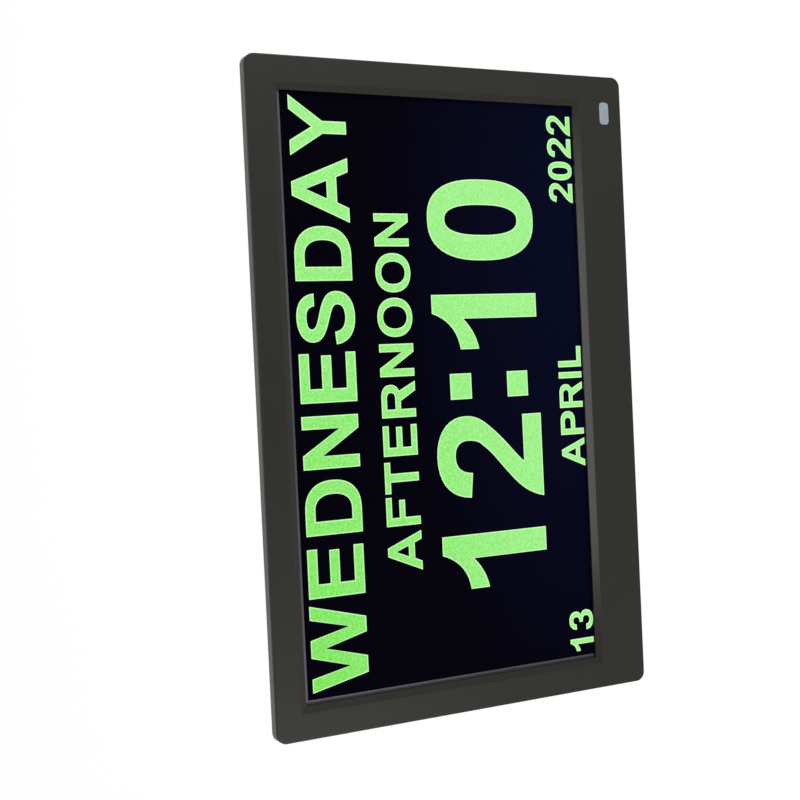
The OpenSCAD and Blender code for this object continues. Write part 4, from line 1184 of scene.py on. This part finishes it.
@dataclass
class KeySymbols:
    """Pad-printed symbols on the seven keys, raised by the ink's thickness, in mm."""

    ring_r: float = 1.2
    ring_gap: float = 35.0
    arrow_r: float = 1.425
    pen: float = 0.2
    ink: float = 0.04

    def arrow(self, turn: float) -> Loop:
        """A filled triangle that points up when turn is 0."""
        return [(self.arrow_r * math.sin(a), self.arrow_r * math.cos(a))
                for a in (turn + k * math.tau / 3 for k in range(3))]

    def ring(self, step: int = 10) -> Loop:
        """A ring's line, open at its top, with a point at every step in degrees."""
        first, last = round(90 + self.ring_gap), round(450 - self.ring_gap)
        return [(self.ring_r * math.cos(a), self.ring_r * math.sin(a))
                for a in map(math.radians, range(first, last + 1, step))]

    def loops(self, symbol: Symbol) -> list[Loop]:
        """A symbol's outlines, as seen from behind the case.

        Args:
            symbol: The symbol.

        Returns:
            Its outlines in mm, round the key's centre.
        """
        r = self.ring_r
        pen = (self.pen, self.pen)
        if symbol is Symbol.POWER:
            return [stroke(self.ring(), pen), stroke([(0, r * 0.25), (0, r * 1.25)], pen)]
        if symbol is Symbol.MENU:
            return [stroke([(-r, h * r), (r, h * r)], pen) for h in (-0.75, 0.0, 0.75)]
        if symbol is Symbol.EXIT:
            hook = [(-r * 0.2, r * 0.62), (r * 0.55, r * 0.62), (r, r * 0.2), (r, -r * 0.15),
                    (r * 0.55, -r * 0.6), (-r * 0.8, -r * 0.6)]
            head = [(-r * 1.2, r * 0.62), (-r * 0.25, r * 1.15), (-r * 0.25, r * 0.1)]
            return [stroke(smooth(hook), pen), head]
        quarter = {Symbol.UP: 0, Symbol.LEFT: 3, Symbol.DOWN: 2, Symbol.RIGHT: 1}[symbol]
        return [self.arrow(quarter * math.pi / 2)]

    def build(self) -> None:
        """Prints each key's symbol on its cap."""
        look = Printed().dress("symbol_ink")
        upright = UPRIGHT.inverted()
        for symbol in Symbol:
            low, high = (Vector(v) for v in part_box(f"{symbol.value}_button"))
            middle = upright @ ((low + high) / 2)
            cap = frame["nodes"][f"{symbol.value}_button"]
            top = max((upright @ v.co).y for v in cap.data.vertices)
            name = f"{symbol.value}_symbol"
            mesh = flat_solid(name, self.loops(symbol), self.ink)
            mesh.materials.append(look)
            turned = Matrix.Rotation(math.pi, 4, "Z")
            place = Matrix.Translation((middle.x, top + self.ink, middle.z)) @ turned
            piece(name, mesh, UPRIGHT @ place, f"{symbol.value}_key")


# ---- Patterns by geometry nodes ----

class Pattern(Graph):
    """A geometry node tree with named inputs, applied to an empty mesh."""

    def __init__(self, name: str, inputs: dict[str, str]) -> None:
        """Starts the tree.

        Args:
            name: The tree's name.
            inputs: Each input's name and its socket type.
        """
        tree = bpy.data.node_groups.new(name, "GeometryNodeTree")
        super().__init__(tree)
        tree.is_modifier = True
        add = tree.interface.new_socket
        add(name="Geometry", in_out="OUTPUT", socket_type="NodeSocketGeometry")
        self.keys: dict[str, str] = {}
        for title, kind in inputs.items():
            made = add(name=title, in_out="INPUT", socket_type=f"NodeSocket{kind}")
            self.keys[title] = made.identifier
        self.given = self.node("NodeGroupInput").outputs

    def input(self, title: str) -> Wire:
        """One of the tree's named inputs."""
        return Wire(self, self.given[title])

    def vector(self, x: Any, y: Any, z: Any) -> Wire:
        """A vector from three values."""
        return self.wire("ShaderNodeCombineXYZ", None, {0: x, 1: y, 2: z})

    def line(self, count: Any, start: Any, step: Any) -> Wire:
        """Points in a row."""
        return self.wire("GeometryNodeMeshLine", {"mode": "OFFSET"}, {
            "Count": count, "Start Location": start, "Offset": step})

    def block(self, size: Any, shift: Any, look: Any) -> Wire:
        """A block.

        Args:
            size: Its size.
            shift: Its middle.
            look: Its material.

        Returns:
            The block.
        """
        cube = self.wire("GeometryNodeMeshCube", None, {"Size": size}, "Mesh")
        moved = self.wire("GeometryNodeTransform", None, {"Geometry": cube, "Translation": shift})
        return self.wire("GeometryNodeSetMaterial", None, {"Geometry": moved, "Material": look})

    def join(self, *parts: Wire) -> Wire:
        """Joins geometries into one.

        Args:
            parts: The geometries.

        Returns:
            The one.
        """
        made = self.node("GeometryNodeJoinGeometry")
        for part in parts:
            self.tree.links.new(part.socket, made.inputs[0])
        return Wire(self, made.outputs[0])

    def spread(self, points: Wire, shape: Wire, scale: Any = UNIT,
               turn: Triple = ORIGIN) -> Wire:
        """Puts a shape on each point."""
        return self.wire("GeometryNodeInstanceOnPoints", None, {
            "Points": points, "Instance": shape, "Scale": scale, "Rotation": turn})

    def end(self, shape: Wire, look: Any = None) -> None:
        """Realizes the instances, sets the material and ends the tree.

        Args:
            shape: The whole geometry.
            look: Its material, where its parts have none of their own.
        """
        real = self.wire("GeometryNodeRealizeInstances", None, {"Geometry": shape})
        if look is not None:
            real = self.wire("GeometryNodeSetMaterial", None, {"Geometry": real, "Material": look})
        self.node("NodeGroupOutput", None, {"Geometry": real})

    def grow(self, name: str, values: dict[str, Any]) -> bpy.types.Mesh:
        """Runs the tree with some values.

        Args:
            name: The mesh's name.
            values: A value for each input.

        Returns:
            The plain mesh.
        """
        holder = link(name, bpy.data.meshes.new(name))
        modifier = holder.modifiers.new(name, "NODES")
        modifier.node_group = self.tree
        for title, value in values.items():
            modifier[self.keys[title]] = value
        return plain_mesh(holder, name)


def net_pattern() -> Pattern:
    """Crossed wires, in a rectangle or inside a circle.

    Returns:
        The tree, whose wires lie in x and z round its middle.
    """
    tree = Pattern("net", {"Half Width": "Float", "Half Height": "Float", "Pitch": "Float",
                           "Wire": "Float", "Round": "Float", "Material": "Material"})
    pitch, wire, rounding = tree.input("Pitch"), tree.input("Wire"), tree.input("Round")
    rod = tree.wire("GeometryNodeMeshCylinder", None,
                    {"Vertices": WIRE_SIDES, "Radius": wire, "Depth": 1.0}, "Mesh")
    halves = (tree.input("Half Width"), tree.input("Half Height"))
    sets = []
    for axis in (0, 1):
        across, along = halves[axis], halves[1 - axis]
        count = (across / pitch).math("FLOOR") * 2.0 + 1.0
        start = (across / pitch).math("FLOOR") * pitch * -1.0
        spots = [(start, wire * (axis - 0.5), 0.0), (0.0, wire * (axis - 0.5), start)][axis]
        steps = [(pitch, 0.0, 0.0), (0.0, 0.0, pitch)][axis]
        points = tree.line(count, tree.vector(*spots), tree.vector(*steps))
        place = tree.wire("GeometryNodeInputPosition")
        split = tree.node("ShaderNodeSeparateXYZ", None, {0: place})
        far = Wire(tree, split.outputs[axis * 2]) / across
        chord = (1.0 - far * far * rounding).math("MAXIMUM", 0.0004).math("SQRT")
        turn = ORIGIN if axis == 0 else (0.0, math.pi / 2, 0.0)
        sets.append(tree.spread(points, rod, tree.vector(1.0, 1.0, chord * along * 2.0), turn))
    tree.end(tree.join(*sets), tree.input("Material"))
    return tree


def rib_pattern() -> Pattern:
    """A row of round-ended ribs that lie along x.

    Returns:
        The tree.
    """
    tree = Pattern("ribs", {"Count": "Int", "Start": "Vector", "Step": "Vector",
                            "Length": "Float", "Radius": "Float", "Material": "Material"})
    length, radius = tree.input("Length"), tree.input("Radius")
    core = tree.wire("GeometryNodeCurvePrimitiveLine", {"mode": "POINTS"}, {
        "Start": tree.vector(length * -0.5, 0.0, 0.0),
        "End": tree.vector(length * 0.5, 0.0, 0.0)})
    fine = tree.wire("GeometryNodeResampleCurve", None, {"Curve": core, "Count": RIB_POINTS})
    share = tree.wire("GeometryNodeSplineParameter", None, None, "Factor")
    off = share * 2.0 - 1.0
    taper = (1.0 - off.math("ABSOLUTE") ** RIB_ROUNDING).math("MAXIMUM", 0.01).math("SQRT")
    sized = tree.wire("GeometryNodeSetCurveRadius", None, {"Curve": fine, "Radius": taper})
    ring = tree.wire("GeometryNodeCurvePrimitiveCircle", {"mode": "RADIUS"},
                     {"Resolution": RIB_SIDES, "Radius": radius})
    rib = tree.wire("GeometryNodeCurveToMesh", None,
                    {"Curve": sized, "Profile Curve": ring, "Fill Caps": True})
    row = tree.line(tree.input("Count"), tree.input("Start"), tree.input("Step"))
    tree.end(tree.spread(row, rib), tree.input("Material"))
    return tree


def chip_row_pattern() -> Pattern:
    """A row of small two-ended parts: a dark body between bright ends.

    Returns:
        The tree.
    """
    tree = Pattern("two_ended_parts", {"Count": "Int", "Start": "Vector", "Step": "Vector",
                                       "Length": "Float", "Width": "Float", "Height": "Float",
                                       "Body": "Material", "Ends": "Material"})
    length, width, height = (tree.input(n) for n in ("Length", "Width", "Height"))
    body = tree.block(tree.vector(length * 0.62, height * 0.9, width * 0.94),
                      tree.vector(*ORIGIN), tree.input("Body"))
    ends = [tree.block(tree.vector(length * 0.2, height, width),
                       tree.vector(length * side, 0.0, 0.0), tree.input("Ends"))
            for side in (-0.4, 0.4)]
    row = tree.line(tree.input("Count"), tree.input("Start"), tree.input("Step"))
    tree.end(tree.spread(row, tree.join(body, *ends)))
    return tree


def pin_row_pattern() -> Pattern:
    """A row of bent pins along a chip's side: a flat toe and a short riser.

    Returns:
        The tree.
    """
    tree = Pattern("pins", {"Count": "Int", "Start": "Vector", "Step": "Vector", "Reach": "Vector",
                            "Thick": "Float", "Rise": "Float", "Material": "Material"})
    thick, rise, look = tree.input("Thick"), tree.input("Rise"), tree.input("Material")
    reach = tree.node("ShaderNodeSeparateXYZ", None, {0: tree.input("Reach")}).outputs
    x, z = Wire(tree, reach[0]), Wire(tree, reach[2])
    long, wide = x.math("ABSOLUTE") + thick, z.math("ABSOLUTE") + thick
    toe = tree.block(tree.vector(long, thick * 0.5, wide),
                     tree.vector(x * 0.5, thick * 0.25, z * 0.5), look)
    riser = tree.block(tree.vector(thick, rise, thick), tree.vector(0.0, rise * 0.5, 0.0), look)
    row = tree.line(tree.input("Count"), tree.input("Start"), tree.input("Step"))
    tree.end(tree.spread(row, tree.join(toe, riser)))
    return tree


@dataclass
class Nets:
    """Dust nets inside the vents and the speaker's slots, in mm in the upright case."""

    back_y: float = 19.8
    wire: float = 0.13
    pitch: float = 0.9
    vent_centre: Point = (68.0, 54.8)
    vent_half: Point = (18.4, 14.8)
    speaker_centre: Point = (-73.0, 52.0)
    speaker_r: float = 12.7

    def build(self) -> None:
        """Makes both nets."""
        look = Moulded((0.02, 0.02, 0.021), roughness=0.6).dress("net_nylon")
        tree = net_pattern()
        nets = (("vent_net", self.vent_centre, self.vent_half, 0.0),
                ("speaker_net", self.speaker_centre, (self.speaker_r, self.speaker_r), 1.0))
        for name, centre, half, rounding in nets:
            mesh = tree.grow(name, {"Half Width": half[0], "Half Height": half[1],
                                    "Pitch": self.pitch, "Wire": self.wire, "Round": rounding,
                                    "Material": look})
            place = Matrix.Translation((centre[0], self.back_y, centre[1]))
            piece(name, mesh, UPRIGHT @ place, "case")


@dataclass
class LegGrip:
    """Ribs across the leg's back, above its rubber foot, for a finger to pull, in mm."""

    count: int = 7
    step: float = 2.2
    length: float = 22.0
    radius: float = 0.5
    back_y: float = 2.5
    lowest_z: float = -84.0

    def build(self) -> None:
        """Makes the ribs."""
        look = FINISHES["leg_plastic"].dress("grip_plastic")
        mesh = rib_pattern().grow("leg_grip", {
            "Count": self.count, "Start": (0.0, self.back_y, self.lowest_z),
            "Step": (0.0, 0.0, self.step), "Length": self.length, "Radius": self.radius,
            "Material": look})
        piece("leg_grip", mesh, ON_LEG, "leg")


@dataclass
class BoardParts:
    """Small parts and pins on the main board, seen through the vents, in mm.

    A row is where its first part lies, x and z, and how many parts it has.
    """

    board_y: float = 11.3
    rows: tuple[tuple[float, float, int], ...] = (
        (48.0, 51.2, 7), (69.5, 67.0, 5), (69.5, 70.2, 5))
    part_size: Triple = (2.0, 1.25, 0.6)
    part_step: float = 2.7
    chip_centre: Point = (58.5, 60.0)
    chip_half: float = 7.0
    pin_pitch: float = 0.8
    pin_count: int = 15
    pin_out: float = 0.15
    pin_reach: float = 0.6
    pin_thick: float = 0.3
    pin_rise: float = 0.7

    def build(self) -> None:
        """Makes the rows of parts and the processor's pins."""
        body = FINISHES["chip_resin"].dress("part_resin")
        tin = FINISHES["switch_steel"].dress("part_tin")
        length, width, height = self.part_size
        tree = chip_row_pattern()
        for i, (x, z, count) in enumerate(self.rows):
            mesh = tree.grow(f"board_row_{i}", {
                "Count": count, "Start": (x, self.board_y + height / 2, z),
                "Step": (self.part_step, 0.0, 0.0), "Length": length, "Width": width,
                "Height": height, "Body": body, "Ends": tin})
            piece(f"board_row_{i}", mesh, UPRIGHT, "case")
        pins = pin_row_pattern()
        run = (self.pin_count - 1) / 2 * self.pin_pitch
        edge = self.chip_half + self.pin_out
        for i, (dx, dz) in enumerate(((1, 0), (-1, 0), (0, 1), (0, -1))):
            start = (self.chip_centre[0] + dx * edge - abs(dz) * run, self.board_y,
                     self.chip_centre[1] + dz * edge - abs(dx) * run)
            mesh = pins.grow(f"chip_pins_{i}", {
                "Count": self.pin_count, "Start": start,
                "Step": (abs(dz) * self.pin_pitch, 0.0, abs(dx) * self.pin_pitch),
                "Reach": (dx * self.pin_reach, 0.0, dz * self.pin_reach),
                "Thick": self.pin_thick, "Rise": self.pin_rise, "Material": tin})
            piece(f"chip_pins_{i}", mesh, UPRIGHT, "case")


# ---- The frame's own nodes ----

@dataclass
class FrameFinish:
    """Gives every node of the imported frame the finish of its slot."""

    finishes: dict[str, Any] = field(default_factory=lambda: FINISHES)

    def build(self) -> None:
        """Dresses the nodes."""
        looks = {slot: finish.dress(slot) for slot, finish in self.finishes.items()}
        for part in frame["record"]["subparts"]:
            node = frame["nodes"][part["node"]]
            for place in node.material_slots:
                place.material = looks[part["material_slot"]]
            log.info("%s: %s", part["node"], part["material_slot"])


# ---- Studio ----

@dataclass(frozen=True)
class Lamp:
    """A square soft lamp that faces the clock, with its place and side in metres."""

    name: str
    place: Triple
    size: float
    watts: float

    def hang(self, target: Triple) -> None:
        """Hangs the lamp, turned to its target.

        Args:
            target: The target in metres.
        """
        light = bpy.data.lights.new(self.name, "AREA")
        light.size = self.size
        light.energy = self.watts
        made = link(self.name, light)
        turn = (Vector(target) - Vector(self.place)).to_track_quat("-Z", "Y")
        made.matrix_world = Matrix.Translation(self.place) @ turn.to_matrix().to_4x4()


@dataclass
class Studio:
    """The pale floor, the soft light and the camera at the photograph's angle.

    The camera's eye is in mm in the upright case, and the directions are in its axes.
    """

    floor_half: float = 4.0
    floor_dark: Colour = (0.84, 0.84, 0.84)
    floor_colour: Colour = (0.86, 0.86, 0.86)
    floor_tones_per_m: float = 6.0
    floor_glow: float = 0.86
    floor_white: float = 1.04
    world_level: float = 0.50
    front_level: float = 0.16
    back_level: float = 1.1
    fade_rate: float = 1.6
    fade_middle: float = 0.5
    eye: Triple = (8.7, -458.8, 346.9)
    right: Triple = (-0.0467, -0.4611, -0.8861)
    up: Triple = (0.9987, -0.0022, -0.0515)
    lens: float = 61.479
    sensor: float = 36.0
    nearest: float = 0.01
    target: Triple = (0.0, 0.0, 0.08)
    lamps: tuple[Lamp, ...] = (
        Lamp("key", (0.75, -0.35, 0.75), 0.9, 4.0),
        Lamp("fill", (-0.6, -0.7, 0.9), 1.2, 2.0),
        Lamp("front", (0.0, -0.85, 0.74), 0.5, 7.5),
        Lamp("low_left", (-0.5, -0.5, 0.1), 0.3, 5.0),
        Lamp("low_right", (0.5, -0.5, 0.1), 0.3, 4.0),
    )

    def rays(self, graph: Graph, *kinds: str) -> Wire:
        """Tells some kinds of rays from the rest.

        Args:
            graph: The tree that asks.
            kinds: The kinds, as Light Path names them.

        Returns:
            1 for these rays and 0 for others.
        """
        path = graph.node("ShaderNodeLightPath").outputs
        first, *others = (Wire(graph, path[f"Is {kind} Ray"]) for kind in kinds)
        return sum(others, first).clamp()

    def floor(self) -> None:
        """A plain pale floor that keeps a soft shadow."""
        mesh = bpy.data.meshes.new("floor")
        s = self.floor_half
        mesh.from_pydata([(-s, -s, 0), (s, -s, 0), (s, s, 0), (-s, s, 0)], [], [(0, 1, 2, 3)])
        floor = link("floor", mesh)
        p = Paint("floor_paint")
        tone = p.noise(self.floor_tones_per_m) * 0.02 + 0.99
        base = p.blend(tone, self.floor_dark, self.floor_colour)
        lit = p.wire("ShaderNodeBsdfDiffuse", None, {"Color": base})
        glow = p.wire("ShaderNodeEmission", None,
                      {"Color": (*UNIT, 1.0), "Strength": self.floor_white})
        share = self.rays(p, "Camera", "Glossy", "Transmission") * self.floor_glow
        both = p.wire("ShaderNodeMixShader", None, {0: share, 1: lit, 2: glow})
        p.node("ShaderNodeOutputMaterial", None, {"Surface": both})
        mesh.materials.append(p.material)

    def world(self) -> None:
        """An even white surround, whose reflection is bright behind the clock and dim before it."""
        world = bpy.data.worlds.new("surround")
        bpy.context.scene.world = world
        world.use_nodes = True
        graph = Graph(world.node_tree)
        white = self.rays(graph, "Camera", "Transmission")
        toward = graph.node("ShaderNodeSeparateXYZ", None, {
            0: graph.node("ShaderNodeTexCoord").outputs["Generated"]}).outputs
        behind = (Wire(graph, toward["Y"]) * self.fade_rate + self.fade_middle).clamp()
        rise = behind * (self.back_level - self.front_level) + self.front_level
        mirrored = self.rays(graph, "Glossy") * (rise - self.world_level)
        level = (1.0 - white) * (mirrored + self.world_level) + white
        light = graph.wire("ShaderNodeBackground", None,
                           {"Color": (*UNIT, 1.0), "Strength": level})
        graph.node("ShaderNodeOutputWorld", None, {"Surface": light})

    def camera(self) -> None:
        """The camera, placed against the upright case and rolled as in the photograph."""
        data = bpy.data.cameras.new("camera")
        data.lens = self.lens
        data.sensor_width = self.sensor
        data.clip_start = self.nearest
        made = link("camera", data)
        lean = Matrix.Rotation(-LEAN, 3, "X")
        right, up = (lean @ Vector(self.right)).normalized(), lean @ Vector(self.up)
        back = right.cross(up).normalized()
        turn = Matrix((right, back.cross(right), back)).transposed().to_4x4()
        made.matrix_world = Matrix.Translation(UPRIGHT @ Vector(self.eye)) @ turn
        bpy.context.scene.camera = made

    def build(self) -> None:
        """Sets the whole stage."""
        self.camera()
        self.floor()
        self.world()
        for lamp in self.lamps:
            lamp.hang(self.target)
        bpy.context.scene.view_settings.view_transform = "Standard"


def main() -> None:
    """Builds the stage and every piece in order."""
    logging.basicConfig(level=logging.INFO, format="%(name)s: %(message)s")
    for part in (Studio(), FrameFinish(), Readout(), KeySymbols(), Nets(), LegGrip(), BoardParts()):
        log.info("building %s", type(part).__name__)
        part.build()


if __name__ == "__main__":
    main()
